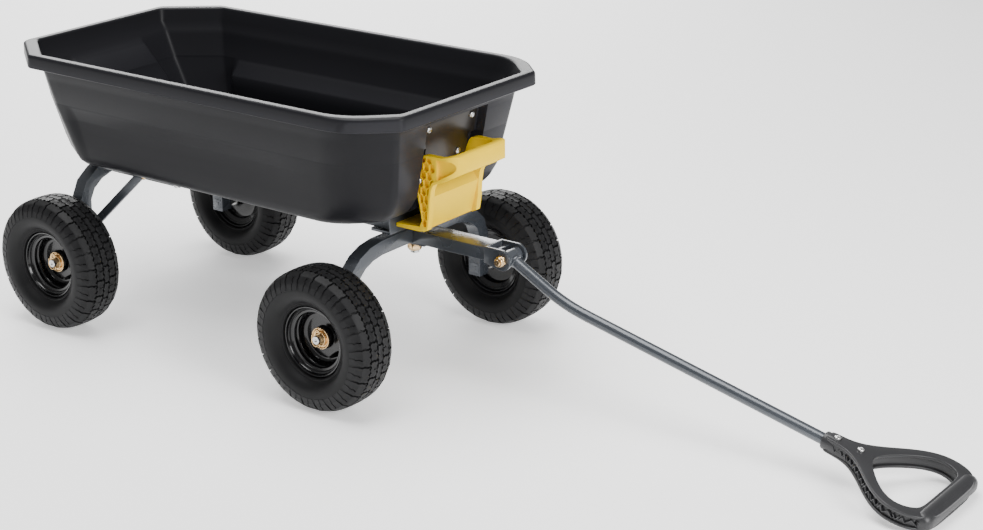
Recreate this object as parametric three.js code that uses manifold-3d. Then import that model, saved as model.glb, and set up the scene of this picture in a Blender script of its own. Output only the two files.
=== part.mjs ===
// A poly dump cart: a moulded tub that tips back on a steel frame, a steered front axle,
// four pneumatic wheels, a pull handle with a D-grip, and a spring-closed latch lever.
// Millimetres. +X is forward, towards the handle, +Y is left and +Z is up. The group's
// origin is on the ground, below the middle of the cart's bounding box.
import * as THREE from 'three';
import { mergeVertices } from 'three/addons/utils/BufferGeometryUtils.js';
import Module from 'manifold-3d';

// ---- Driving dimensions ----
const FIT = 0.3;                 // gap between two pieces that touch

const TYRE_D = 254;              // wheels
const TYRE_W = 94;
const TYRE_WALL = 7;
const TYRE_SIDES = 24;
const BEAD_D = 101.6;
const FLANGE_D = 128;
const SEAT_W = 39;
const RIM_WALL = 3;
const DISC_FACE = -4;            // outboard face of the rim's disc, from the wheel's middle
const HUB_D = 34;
const HUB_OUT = 5;
const HUB_IN = 34;
const BEARING_L = 13;
const WASHER_D = 39;
const WASHER_T = 2;
const COLLAR_D = 27;
const COLLAR_T = 3.5;
const PIN_D = 3.2;
const PIN_L = 30;

const WHEELBASE = 660;           // running gear
const TRACK = 503;
const AXLE_D = 16;
const AXLE_END = 10;             // axle beyond the washer
const STOCK = 26;                // square tube of both arches and the rails
const STOCK_WALL = 2.5;
const LEG_Y = 187;
const LEG_BELOW = 15;            // leg below the axle's centre
const SHOULDER = 87;             // half-width taken by an arch's bend
const FRONT_TOP = 262;
const REAR_TOP = 300;
const FRONT_BEND = 58;
const REAR_BEND = 62;
const SHEET = 3;
const KINGPIN_D = 16;
const KINGPIN_HEX = 24;
const RAIL_Y = 70;
const PLATE_T = 6;
const PLATE_HALF = 90;
const PLATE_REACH = 25;
const PAN_AHEAD = 66;            // support pan under the tub, ahead of the rear axle
const PAN_L = 178;
const PAN_HALF = 165;
const PAN_EDGE = 11;
const BRACE_T = 8;
const BRACE_W = 15;
const BRACE_AHEAD = 125;         // brace's top, ahead of the rear axle
const BRACE_TOP_Y = 153;
const BRACE_LOW_Z = 185;

const TONGUE_REACH = 173;        // steering: tongue's end, ahead of the front axle
const TONGUE_HALF = 22;
const TONGUE_H = 24;
const STRAP_T = 4;
const CLEVIS_GAP = 41;
const CLEVIS_T = 5;
const CLEVIS_R = 18.5;
const HITCH_AHEAD = 38;          // handle pivot, ahead of the tongue's end
const HITCH_Z = 243;
const HITCH_D = 12;
const HITCH_HEX = 19;

const HANDLE_D = 20;             // handle
const HANDLE_WALL = 2;
const TUBE_SIDES = 10;
const SLEEVE_D = 26;
const ELBOW_AHEAD = 114;         // elbow, ahead of the handle pivot
const ELBOW_Z = 181;
const GRIP_AHEAD = 711;          // grip's bar, ahead of the elbow
const GRIP_BAR_D = 32;
const GRIP_T = 26;
const GRIP_HALF = 106;
const GRIP_ARM = 21;
const SOCKET_L = 213;            // from the bar's centre back to the socket's mouth
const TUBE_END = 140;
const GRIP_BOLT_D = 5;
const GRIP_BOLTS = [196, 154];

const TUB_BOTTOM = 305;          // tub
const TUB_TOP = 521;
const TUB_BEHIND = 132;          // lip behind the rear axle and ahead of the front axle
const TUB_AHEAD = 133;
const TUB_HALF = 252;
const TUB_WALL = 5;
const LIP_W = 18;
const LIP_H = 25;
const LIP_T = 4;
const REAR_CORNER_X = 98;         // corner chamfers, along the walls
const REAR_CORNER_Y = 75;
const FRONT_CORNER_X = 72;
const FRONT_CORNER_Y = 70;
const LEDGE_IN_REAR = 147;       // ledge's ends, in from the lip's
const LEDGE_IN_FRONT = 163;
const LEDGE_RUN = 20;            // length over which the ledge dies out at each end
const RECESS_HALF = 84;
const RECESS_TOP = 479;
const PAD_DEPTH = 18;
const SLOT_DEPTH = 27;
const SLOT_TOP = 428;
const NECK_HALF = 60;
const HEAD_HALF = 75;

const HINGE_Z = 284;             // tub hinge
const HINGE_SPARE = 2;           // clear of the rear arch
const HINGE_D = 10;
const EAR_R = 9;
const EAR_T = 4;
const LUG_Y = 92;

const LEVER_AHEAD = 53;          // latch lever's rod, ahead of its toe
const LEVER_Z = 375;
const ROD_D = 8;
const LEVER_HALF = 75;
const CHEEK_T = 12;
const TOE_AHEAD = 20;            // toe, ahead of the front axle
const CATCH_GAP = 1.5;
const LEVER_EAR_Y = 50;
const SPRING_WIRE = 1.2;
const SPRING_TURNS = 7;
const PLATE_BOLT_Y = 60;
const PLATE_BOLT_LOW_Y = 34;
const PLATE_BOLT_D = 6;
const PLATE_BOLT_HIGH = 463;
const PLATE_BOLT_LOW = 402;

// ---- Sizes that follow ----
const AXLE_Z = TYRE_D / 2;
const FRONT_X = WHEELBASE / 2;
const REAR_X = -WHEELBASE / 2;
const PAN_REAR = REAR_X + PAN_AHEAD;
const PAN_FRONT = PAN_REAR + PAN_L;
const BRACE_TOP_X = REAR_X + BRACE_AHEAD;
const TONGUE_END = FRONT_X + TONGUE_REACH;
const HITCH_X = TONGUE_END + HITCH_AHEAD;
const ELBOW_X = HITCH_X + ELBOW_AHEAD;
const GRIP_X = ELBOW_X + GRIP_AHEAD;
const TUB_REAR = REAR_X - TUB_BEHIND;
const TUB_FRONT = FRONT_X + TUB_AHEAD;
const LEDGE_REAR = TUB_REAR + LEDGE_IN_REAR;
const LEDGE_FRONT = TUB_FRONT - LEDGE_IN_FRONT;
const HINGE_X = REAR_X - STOCK / 2 - EAR_R - HINGE_SPARE;
const TOE_X = FRONT_X + TOE_AHEAD;
const LEVER_X = TOE_X + LEVER_AHEAD;
const RAIL_TOP = TUB_BOTTOM - 2 * FIT - SHEET;
const RAIL_LOW = RAIL_TOP - STOCK;
const PLATE_TOP = RAIL_LOW - FIT;
const PLATE_LOW = PLATE_TOP - PLATE_T;
const CATCH_FACE = TOE_X - CATCH_GAP;
const HINGE_RISE = TUB_BOTTOM - FIT;
const WASHER_AT = TRACK / 2 + HUB_OUT + FIT;
const AXLE_TIP = WASHER_AT + WASHER_T + COLLAR_T + AXLE_END;
const PULL = new THREE.Vector2(GRIP_X - ELBOW_X, GRIP_BAR_D / 2 - ELBOW_Z);
const GRIP_TILT = -PULL.angle() + 2 * Math.PI;
const WALL_SLOPE = 0.198;        // the front wall leans forward by this much per mm of rise
const WALL_AHEAD = 8.8;          // and at the rod's height is this far ahead of the rod
const frontWall = (z) => LEVER_X + WALL_AHEAD + WALL_SLOPE * (z - LEVER_Z);

// ---- Solids ----
const wasm = await Module();
wasm.setup();

function tidy(geometry) {
  const plain = geometry.index ? geometry.clone() : geometry;
  plain.deleteAttribute('normal');
  plain.deleteAttribute('uv');
  const merged = mergeVertices(plain, 1e-4);
  const kept = [];
  const index = merged.index.array;
  for (let i = 0; i < index.length; i += 3) {
    const [a, b, c] = [index[i], index[i + 1], index[i + 2]];
    if (a !== b && b !== c && c !== a) kept.push(a, b, c);
  }
  merged.setIndex(kept);
  return merged;
}

function solid(geometry) {
  const merged = tidy(geometry);
  return new wasm.Manifold(new wasm.Mesh({
    numProp: 3,
    vertProperties: new Float32Array(merged.attributes.position.array),
    triVerts: new Uint32Array(merged.index.array),
  }));
}

function surface(manifold) {
  const mesh = manifold.getMesh();
  const geometry = new THREE.BufferGeometry();
  geometry.setAttribute('position', new THREE.BufferAttribute(mesh.vertProperties, 3));
  geometry.setIndex(new THREE.BufferAttribute(mesh.triVerts, 1));
  return geometry;
}

const join = (...pieces) => pieces.reduce((a, b) => a.add(b));
const cut = (body, ...tools) => tools.reduce((a, b) => a.subtract(b), body);

function block(x0, x1, y0, y1, z0, z1) {
  const geometry = new THREE.BoxGeometry(x1 - x0, y1 - y0, z1 - z0);
  geometry.translate((x0 + x1) / 2, (y0 + y1) / 2, (z0 + z1) / 2);
  return solid(geometry);
}

// A ring or shaft turned about the Y axis from a closed [radius, y] profile.
function turned(profile, segments = 12, phase = 0) {
  const points = profile.map(([r, a]) => new THREE.Vector2(r, a));
  if (THREE.ShapeUtils.area(points) < 0) points.reverse();
  if (points.every((p) => p.x > 0)) points.push(points[0].clone());
  return tidy(new THREE.LatheGeometry(points, segments, phase));
}

function rod(radius, y0, y1, segments = 12, phase = 0) {
  return turned([[0, y0], [radius, y0], [radius, y1], [0, y1]], segments, phase);
}

// Outlines always run anticlockwise, which keeps the walls of their holes facing the right way.
function outline(pairs) {
  const points = pairs.map(([a, b]) => new THREE.Vector2(a, b));
  if (THREE.ShapeUtils.isClockWise(points)) points.reverse();
  return new THREE.Shape(points);
}

// A prism whose outline is drawn in X and Z, between two Y planes.
function prismY(shape, y0, y1, curveSegments = 6) {
  const options = { depth: y1 - y0, bevelEnabled: false, curveSegments };
  const geometry = new THREE.ExtrudeGeometry(shape, options);
  geometry.rotateX(Math.PI / 2);
  geometry.translate(0, y1, 0);
  return solid(geometry);
}

// A prism whose outline is drawn in X and Y, between two Z planes.
function prismZ(shape, z0, z1, curveSegments = 6) {
  const options = { depth: z1 - z0, bevelEnabled: false, curveSegments };
  const geometry = new THREE.ExtrudeGeometry(shape, options);
  geometry.translate(0, 0, z0);
  return solid(geometry);
}

// A closed skin over level rings of [x, y, z] points, all with the same number of points and
// running anticlockwise. Each end is closed by a fan about the middle of its ring.
function loft(rings) {
  const count = rings[0].length;
  const position = rings.flat(2);
  const index = [];
  for (let level = 0; level + 1 < rings.length; level += 1) {
    for (let i = 0; i < count; i += 1) {
      const a = level * count + i;
      const b = level * count + ((i + 1) % count);
      index.push(a, b, b + count, a, b + count, a + count);
    }
  }
  const caps = [[rings[0], 0, 1], [rings[rings.length - 1], (rings.length - 1) * count, 0]];
  for (const [cap, first, below] of caps) {
    const middle = position.length / 3;
    position.push(...[0, 1, 2].map((k) => cap.reduce((sum, point) => sum + point[k], 0) / count));
    for (let i = 0; i < count; i += 1) {
      const [a, b] = [first + i, first + ((i + 1) % count)];
      index.push(middle, below ? b : a, below ? a : b);
    }
  }
  const geometry = new THREE.BufferGeometry();
  geometry.setAttribute('position', new THREE.Float32BufferAttribute(position, 3));
  geometry.setIndex(index);
  return solid(geometry);
}

function hexagon(acrossFlats) {
  const shape = new THREE.Shape();
  const r = acrossFlats / Math.sqrt(3);
  for (let i = 0; i < 6; i += 1) {
    const angle = i * Math.PI / 3;
    shape[i ? 'lineTo' : 'moveTo'](r * Math.cos(angle), r * Math.sin(angle));
  }
  return shape;
}

function squareTube(half, wall) {
  const inner = half - wall;
  const shape = outline([[-half, -half], [half, -half], [half, half], [-half, half]]);
  shape.holes.push(outline([[-inner, -inner], [-inner, inner], [inner, inner], [inner, -inner]]));
  return shape;
}

// ---- Materials ----
const paint = (color, roughness, metalness) => (
  new THREE.MeshStandardMaterial({ color, roughness, metalness }));
const POLY = paint(0x38383c, 0.62, 0);
const FRAME = paint(0x464a50, 0.34, 0.35);
const BRACKET = paint(0x2b2622, 0.38, 0.4);
const YELLOW = paint(0xf2cb1d, 0.45, 0);
const RUBBER = paint(0x232325, 0.85, 0);
const GLOSS = paint(0x0d0d0e, 0.2, 0.3);
const BRASS = paint(0xcfa45e, 0.3, 0.9);
const ZINC = paint(0xb9b6ab, 0.35, 0.9);
const GRIPPED = paint(0x3a3a3c, 0.6, 0);

function place(parent, name, shape, material) {
  const geometry = shape.isBufferGeometry ? shape : surface(shape);
  const mesh = new THREE.Mesh(geometry, material);
  mesh.name = name;
  parent.add(mesh);
  return mesh;
}

const cart = new THREE.Group();
const model = new THREE.Group();
cart.add(model);

// ---- Wheels ----
// Each wheel is made about the Y axis with its outboard side towards +Y. The tyre's flats
// are as far from the axle as its nominal radius, so it stands on one of them.
function tyreProfile() {
  const radius = TYRE_D / 2 / Math.cos(Math.PI / TYRE_SIDES);
  const foot = FLANGE_D / 2 + 1.5;
  const rise = radius - foot;
  const half = TYRE_W / 2;
  const skin = [[0, 0.47], [0.2, 0.8], [0.52, 1], [0.86, 0.93], [1, 0.55]];
  const outer = skin.map(([up, out]) => [foot + up * rise, out * half]);
  const inner = skin.map(([up, out]) => [
    foot + up * (rise - TYRE_WALL), out * (half - TYRE_WALL) * (up ? 1 : 0.55)]);
  const seat = BEAD_D / 2 + FIT;
  const bead = SEAT_W / 2 - FIT;
  const side = [[seat, bead - TYRE_WALL], [seat, bead], [foot, bead], ...outer.slice(1)];
  const mirror = (points) => points.map(([r, a]) => [r, -a]).reverse();
  return [...side, ...mirror(side), ...inner.map(([r, a]) => [r, -a]), ...inner.slice().reverse()];
}

function rimProfile() {
  const bore = HUB_D / 2 - RIM_WALL;
  const hub = HUB_D / 2;
  const well = BEAD_D / 2;
  const inside = well - RIM_WALL;
  const seat = SEAT_W / 2;
  const edge = seat + RIM_WALL;
  const flange = FLANGE_D / 2;
  const back = DISC_FACE - RIM_WALL;
  return [[bore, HUB_OUT], [hub, HUB_OUT], [hub, DISC_FACE], [inside, DISC_FACE], [inside, edge],
    [flange, edge], [flange, seat], [well, seat], [well, -seat], [flange, -seat],
    [flange, -edge], [inside, -edge], [inside, back], [hub, back], [hub, -HUB_IN],
    [bore, -HUB_IN]];
}

const bearing = (a0, a1) => {
  const inner = AXLE_D / 2 + FIT;
  const outer = HUB_D / 2 - RIM_WALL - FIT;
  return turned([[inner, a0], [outer, a0], [outer, a1], [inner, a1]], 12);
};

function wheel(name, x, side) {
  const group = new THREE.Group();
  group.position.set(x, side * TRACK / 2, AXLE_Z);
  if (side < 0) group.rotation.z = Math.PI;
  const flatDown = Math.PI / TYRE_SIDES;
  place(group, `tyre_${name}`, turned(tyreProfile(), TYRE_SIDES, flatDown), RUBBER);
  place(group, `rim_${name}`, turned(rimProfile(), TYRE_SIDES, flatDown), GLOSS);
  place(group, `bearing_outer_${name}`, bearing(HUB_OUT - BEARING_L, HUB_OUT), ZINC);
  place(group, `bearing_inner_${name}`, bearing(-HUB_IN, BEARING_L - HUB_IN), ZINC);
  return group;
}

for (const [end, x] of [['front', FRONT_X], ['rear', REAR_X]]) {
  model.add(wheel(`${end}_left`, x, 1));
  model.add(wheel(`${end}_right`, x, -1));
}

// ---- Axles ----
// A stub axle passes through an arch's leg and ends in a cotter pin. The bodies that carry
// the axles also carry the washers and pins, which don't turn with the wheels.
function stubAxle() {
  const shoulder = TRACK / 2 - HUB_IN - FIT;
  const leg = LEG_Y + STOCK / 2 + FIT;
  const inner = LEG_Y - STOCK / 2 - 6;
  const r = AXLE_D / 2;
  const shaft = turned([[0, inner], [r, inner], [r, leg], [r + 3, leg], [r + 3, shoulder],
    [r, shoulder], [r, AXLE_TIP], [0, AXLE_TIP]]);
  const hole = new THREE.CylinderGeometry(PIN_D / 2 + FIT, PIN_D / 2 + FIT, AXLE_D * 2, 8);
  hole.rotateX(Math.PI / 2);
  hole.translate(0, pinAt(), 0);
  return cut(solid(shaft), solid(hole));
}

const pinAt = () => AXLE_TIP - AXLE_END / 2;

function cotterPin() {
  const pin = new THREE.CylinderGeometry(PIN_D / 2, PIN_D / 2, PIN_L, 8);
  pin.rotateX(Math.PI / 2);
  pin.translate(0, pinAt(), 0);
  return pin;
}

function axleWasher() {
  const bore = AXLE_D / 2 + FIT;
  const far = WASHER_AT + WASHER_T + COLLAR_T;
  return turned([[bore, WASHER_AT], [WASHER_D / 2, WASHER_AT], [WASHER_D / 2, WASHER_AT + WASHER_T],
    [COLLAR_D / 2, WASHER_AT + WASHER_T], [COLLAR_D / 2, far], [bore, far]], 16);
}

for (const [end, x] of [['front', FRONT_X], ['rear', REAR_X]]) {
  for (const [side, turn] of [['left', 0], ['right', Math.PI]]) {
    const group = new THREE.Group();
    group.position.set(x, 0, AXLE_Z);
    group.rotation.z = turn;
    place(group, `axle_${end}_${side}`, stubAxle(), ZINC);
    place(group, `washer_${end}_${side}`, axleWasher(), BRASS);
    place(group, `cotter_pin_${end}_${side}`, cotterPin(), BRASS);
    model.add(group);
  }
}

// ---- Arches ----
// Each arch is one length of square tube: two upright legs and a flat top, joined by two
// wide bends. The legs are drilled for the stub axles.
function archCurve(top, bend) {
  const low = AXLE_Z - LEG_BELOW;
  const high = top - STOCK / 2;
  const spring = high - bend;
  const flat = LEG_Y - SHOULDER;
  const round = 0.5523;
  const at = (y, z) => new THREE.Vector3(0, y, z);
  const bendAt = (side) => new THREE.CubicBezierCurve3(
    at(side * LEG_Y, spring), at(side * LEG_Y, spring + round * bend),
    at(side * (flat + round * SHOULDER), high), at(side * flat, high));
  const left = bendAt(1);
  const right = bendAt(-1);
  const back = new THREE.CubicBezierCurve3(right.v3, right.v2, right.v1, right.v0);
  const path = new THREE.CurvePath();
  path.add(new THREE.LineCurve3(at(LEG_Y, low), at(LEG_Y, spring)));
  path.add(left);
  path.add(new THREE.LineCurve3(at(flat, high), at(-flat, high)));
  path.add(back);
  path.add(new THREE.LineCurve3(at(-LEG_Y, spring), at(-LEG_Y, low)));
  return path;
}

function archTube(x, top, bend) {
  const geometry = new THREE.ExtrudeGeometry(squareTube(STOCK / 2, STOCK_WALL), {
    steps: 22, bevelEnabled: false, extrudePath: archCurve(top, bend) });
  geometry.translate(x, 0, 0);
  const reach = LEG_Y + STOCK;
  const drill = rod(AXLE_D / 2 + FIT, -reach, reach);
  drill.translate(x, 0, AXLE_Z);
  return cut(solid(geometry), solid(drill));
}

function upright(radius, z0, z1, segments = 16) {
  const geometry = new THREE.CylinderGeometry(radius, radius, z1 - z0, segments);
  geometry.rotateX(Math.PI / 2);
  geometry.translate(FRONT_X, 0, (z0 + z1) / 2);
  return solid(geometry);
}

// ---- Frame ----
function hingeEar(y0, y1) {
  const shape = new THREE.Shape();
  shape.moveTo(HINGE_X - EAR_R, HINGE_Z);
  shape.absarc(HINGE_X, HINGE_Z, EAR_R, Math.PI, 2 * Math.PI, false);
  shape.lineTo(HINGE_X + EAR_R, HINGE_RISE);
  shape.lineTo(HINGE_X - EAR_R, HINGE_RISE);
  return prismY(shape, y0, y1, 8);
}

function hingeLug(side) {
  const face = REAR_X - STOCK / 2 + STOCK_WALL / 2;
  const shape = new THREE.Shape();
  shape.moveTo(face, HINGE_Z - EAR_R);
  shape.lineTo(face, HINGE_Z + EAR_R);
  shape.lineTo(HINGE_X, HINGE_Z + EAR_R);
  shape.absarc(HINGE_X, HINGE_Z, EAR_R, Math.PI / 2, 1.5 * Math.PI, false);
  const y = side * LUG_Y;
  return prismY(shape, y - EAR_T / 2, y + EAR_T / 2, 8);
}

function hingeBore(clearance) {
  const geometry = rod(HINGE_D / 2 + clearance, -2 * LUG_Y, 2 * LUG_Y);
  geometry.translate(HINGE_X, 0, HINGE_Z);
  return solid(geometry);
}

const frame = new THREE.Group();
model.add(frame);
place(frame, 'rear_arch', cut(
  join(archTube(REAR_X, REAR_TOP, REAR_BEND), hingeLug(1), hingeLug(-1)),
  hingeBore(FIT)), FRAME);

const railRear = REAR_X + STOCK / 2 + FIT;
const railFront = CATCH_FACE - SHEET - FIT;
for (const [name, y] of [['left', RAIL_Y], ['right', -RAIL_Y]]) {
  const geometry = new THREE.ExtrudeGeometry(squareTube(STOCK / 2, STOCK_WALL), {
    depth: railFront - railRear, bevelEnabled: false });
  geometry.rotateY(Math.PI / 2);
  geometry.translate(railRear, y, (RAIL_TOP + RAIL_LOW) / 2);
  place(frame, `rail_${name}`, tidy(geometry), FRAME);
}

// The pan carries the tub. Its long edges are folded down over the ends of the braces.
const panTop = TUB_BOTTOM - FIT;
place(frame, 'support_pan', cut(
  block(PAN_REAR, PAN_FRONT, -PAN_HALF, PAN_HALF, panTop - PAN_EDGE, panTop),
  block(PAN_REAR - 1, PAN_FRONT + 1, SHEET - PAN_HALF, PAN_HALF - SHEET,
    panTop - PAN_EDGE - 1, panTop - SHEET)), FRAME);

// Each brace runs from under the pan down to the front face of a rear leg. It leans
// outwards on the way down, so its outline is sheared sideways.
function brace(side) {
  const foot = REAR_X + STOCK / 2 + FIT;
  const head = panTop - SHEET - FIT;
  const run = BRACE_TOP_X - foot;
  const slope = (head - BRACE_LOW_Z) / run;
  const rise = BRACE_W * Math.hypot(1, slope);
  const along = rise / slope;
  const shape = outline([[foot, BRACE_LOW_Z - rise], [BRACE_TOP_X + along, head],
    [BRACE_TOP_X, head], [foot, BRACE_LOW_Z]]);
  const legInside = LEG_Y - BRACE_T / 2;
  const lean = (legInside - BRACE_TOP_Y) / run;
  const shear = new THREE.Matrix4().makeShear(-side * lean, 0, 0, 0, 0, 0);
  const geometry = surface(prismY(shape, -BRACE_T / 2, BRACE_T / 2));
  geometry.translate(-BRACE_TOP_X, side * BRACE_TOP_Y, 0);
  geometry.applyMatrix4(shear);
  geometry.translate(BRACE_TOP_X, 0, 0);
  return geometry;
}
place(frame, 'brace_left', brace(1), FRAME);
place(frame, 'brace_right', brace(-1), FRAME);

// The front plate is welded below the rails. Its front edge is folded up to cap the rails
// and gives the lever's toe a face to close against.
const kingHole = upright(KINGPIN_D / 2 + FIT, 0, TUB_BOTTOM);
place(frame, 'front_plate', cut(join(
  block(FRONT_X - PLATE_REACH, CATCH_FACE, -PLATE_HALF, PLATE_HALF, PLATE_LOW, PLATE_TOP),
  block(CATCH_FACE - SHEET, CATCH_FACE, -PLATE_HALF, PLATE_HALF, PLATE_LOW, RAIL_TOP)),
kingHole), FRAME);

const hingePin = rod(HINGE_D / 2, -LUG_Y - 4 * EAR_T, LUG_Y + 4 * EAR_T);
hingePin.translate(HINGE_X, 0, HINGE_Z);
place(frame, 'hinge_rod', hingePin, ZINC);

// ---- Steering ----
const steering = new THREE.Group();
model.add(steering);
place(steering, 'front_arch', cut(archTube(FRONT_X, FRONT_TOP, FRONT_BEND), kingHole), FRAME);

const washerLow = FRONT_TOP + FIT;
const washerHigh = PLATE_LOW - FIT;
place(steering, 'thrust_washer', cut(upright(KINGPIN_HEX, washerLow, washerHigh, 24), kingHole), ZINC);

const archLow = FRONT_TOP - STOCK;
const strapTop = archLow - FIT;
const strapLow = strapTop - STRAP_T;
const nutTop = strapLow - FIT;
const nutLow = nutTop - KINGPIN_D;
const kingHead = prismZ(hexagon(KINGPIN_HEX), PLATE_TOP + FIT, PLATE_TOP + FIT + 10)
  .translate([FRONT_X, 0, 0]);
place(steering, 'kingpin', join(
  upright(KINGPIN_D / 2, nutLow - 6, PLATE_TOP + FIT + 5), kingHead), ZINC);
place(steering, 'kingpin_nut', cut(
  prismZ(hexagon(KINGPIN_HEX), nutLow, nutTop).translate([FRONT_X, 0, 0]), kingHole), BRASS);

// The tongue is a rectangular tube butted to the arch, over a strap that takes the kingpin.
const tongueRear = FRONT_X + STOCK / 2 + FIT;
const tongueLow = strapTop - STRAP_T / 4;
const tongueTop = tongueLow + TONGUE_H;
place(steering, 'tongue', cut(join(
  cut(block(tongueRear, TONGUE_END, -TONGUE_HALF, TONGUE_HALF, tongueLow, tongueTop),
    block(tongueRear - 1, TONGUE_END + 1, SHEET - TONGUE_HALF, TONGUE_HALF - SHEET,
      tongueLow + SHEET, tongueTop - SHEET)),
  block(FRONT_X - PLATE_REACH, tongueRear + STOCK, -TONGUE_HALF, TONGUE_HALF, strapLow, strapTop)),
kingHole), FRAME);

const hitchBore = (radius, y0, y1) => {
  const geometry = rod(radius, y0, y1);
  geometry.translate(HITCH_X, 0, HITCH_Z);
  return solid(geometry);
};
const clevisHalf = CLEVIS_GAP / 2 + CLEVIS_T;
const clevisRear = TONGUE_END + FIT;

function clevis() {
  const shape = new THREE.Shape();
  shape.moveTo(clevisRear, tongueLow - 2);
  shape.lineTo(HITCH_X - 6, HITCH_Z - CLEVIS_R);
  shape.absarc(HITCH_X, HITCH_Z, CLEVIS_R, -Math.PI / 2, Math.PI / 2, false);
  shape.lineTo(clevisRear, HITCH_Z + CLEVIS_R);
  return cut(prismY(shape, -clevisHalf, clevisHalf, 10),
    block(clevisRear + CLEVIS_T, HITCH_X + 2 * CLEVIS_R, -CLEVIS_GAP / 2, CLEVIS_GAP / 2, 0, TUB_TOP),
    hitchBore(HITCH_D / 2 + FIT, -TRACK, TRACK));
}
place(steering, 'clevis', clevis(), FRAME);

// ---- Handle ----
const handle = new THREE.Group();
model.add(handle);

const hexAcross = (y0, y1) => prismY(hexagon(HITCH_HEX), y0, y1).translate([HITCH_X, 0, HITCH_Z]);
const clevisNutLow = -clevisHalf - FIT - 10;
place(handle, 'clevis_bolt', join(
  hitchBore(HITCH_D / 2, clevisNutLow - 4, clevisHalf + FIT + 4),
  hexAcross(clevisHalf + FIT, clevisHalf + FIT + 8)), BRASS);
place(handle, 'clevis_nut', cut(hexAcross(clevisNutLow, -clevisHalf - FIT),
  hitchBore(HITCH_D / 2 + FIT, -TRACK, TRACK)), BRASS);

// The grip is drawn flat about its bar's centre, then tilted to lie along the tube.
const toPull = (geometry) => {
  geometry.rotateY(GRIP_TILT);
  geometry.translate(GRIP_X, 0, GRIP_BAR_D / 2);
  return geometry;
};
const gripHole = (s, radius) => {
  const geometry = new THREE.CylinderGeometry(radius, radius, 2 * GRIP_T, 8);
  geometry.rotateX(Math.PI / 2);
  geometry.translate(-s, 0, 0);
  return solid(toPull(geometry));
};
const gripHoles = GRIP_BOLTS.map((s) => gripHole(s, GRIP_BOLT_D / 2 + FIT));

function handlePath() {
  const reach = PULL.length() - TUBE_END;
  const along = PULL.clone().normalize();
  const drop = new THREE.Vector2(ELBOW_X - HITCH_X, ELBOW_Z - HITCH_Z).normalize();
  const bend = 45;
  const at = (x, z) => new THREE.Vector3(x, 0, z);
  const elbow = at(ELBOW_X, ELBOW_Z);
  const before = at(ELBOW_X - bend * drop.x, ELBOW_Z - bend * drop.y);
  const after = at(ELBOW_X + bend * along.x, ELBOW_Z + bend * along.y);
  const start = at(HITCH_X + SLEEVE_D / 4 * drop.x, HITCH_Z + SLEEVE_D / 4 * drop.y);
  const end = at(ELBOW_X + reach * along.x, ELBOW_Z + reach * along.y);
  return { start, before, elbow, after, end };
}

function handleTube() {
  const { start, before, elbow, after, end } = handlePath();
  const path = new THREE.CurvePath();
  path.add(new THREE.LineCurve3(start, before));
  path.add(new THREE.QuadraticBezierCurve3(before, elbow, after));
  path.add(new THREE.LineCurve3(after, end));
  const ring = (radius) => Array.from({ length: TUBE_SIDES }, (_, i) => {
    const angle = (i + 0.5) * 2 * Math.PI / TUBE_SIDES;
    return [radius * Math.cos(angle), radius * Math.sin(angle)];
  });
  const shape = outline(ring(HANDLE_D / 2));
  shape.holes.push(outline(ring(HANDLE_D / 2 - HANDLE_WALL)));
  const tube = new THREE.ExtrudeGeometry(shape, {
    steps: 20, bevelEnabled: false, extrudePath: path });
  const sleeveHalf = CLEVIS_GAP / 2 - FIT;
  return cut(join(solid(tube), hitchBore(SLEEVE_D / 2, -sleeveHalf, sleeveHalf)),
    hitchBore(HITCH_D / 2 + FIT, -TRACK, TRACK), ...gripHoles);
}
place(handle, 'handle_tube', handleTube(), FRAME);

function gripShape() {
  const neck = GRIP_T / 2 + 2;
  const bar = GRIP_BAR_D / 2;
  const half = [[-SOCKET_L, neck], [-165, neck + 4], [-134, 0.4 * GRIP_HALF], [-107, 0.68 * GRIP_HALF],
    [-78, 0.91 * GRIP_HALF], [-46, GRIP_HALF], [-18, 0.97 * GRIP_HALF], [4, 0.8 * GRIP_HALF],
    [bar - 2, 0.5 * GRIP_HALF]];
  const inner = GRIP_HALF - GRIP_ARM;
  const hole = [[-129, 0.1 * inner], [-114, 0.37 * inner], [-90, 0.72 * inner], [-68, 0.94 * inner],
    [-47, inner], [-28, 0.95 * inner], [2 - bar, 0.7 * inner]];
  const around = (points) => [...points, ...points.map(([s, y]) => [s, -y]).reverse()];
  const shape = outline(around(half));
  shape.holes.push(outline(around(hole)));
  return shape;
}

function grip() {
  const plate = prismZ(gripShape(), -GRIP_T / 2, GRIP_T / 2);
  const bar = solid(rod(GRIP_BAR_D / 2, -0.78 * GRIP_HALF, 0.78 * GRIP_HALF, 16, Math.PI / 16));
  const bore = (HANDLE_D / 2 + FIT) / Math.cos(Math.PI / TUBE_SIDES);
  const socket = new THREE.CylinderGeometry(bore, bore, SOCKET_L - TUBE_END + 2, TUBE_SIDES);
  socket.rotateZ(Math.PI / 2);
  socket.translate(-(SOCKET_L + TUBE_END) / 2, 0, 0);
  const body = surface(cut(join(plate, bar), solid(socket)));
  return cut(solid(toPull(body)), ...gripHoles);
}
place(handle, 'grip', grip(), GRIPPED);

function gripBolt(s) {
  const half = GRIP_T / 2;
  const shank = new THREE.CylinderGeometry(GRIP_BOLT_D / 2, GRIP_BOLT_D / 2, 2 * half + 4, 8);
  shank.rotateX(Math.PI / 2);
  shank.translate(-s, 0, 2);
  const head = new THREE.CylinderGeometry(GRIP_BOLT_D, GRIP_BOLT_D, 3, 12);
  head.rotateX(Math.PI / 2);
  head.translate(-s, 0, half + FIT + 1.5);
  return surface(join(solid(toPull(shank)), solid(toPull(head))));
}
GRIP_BOLTS.forEach((s, i) => place(handle, `grip_bolt_${i + 1}`, gripBolt(s), ZINC));

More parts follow.
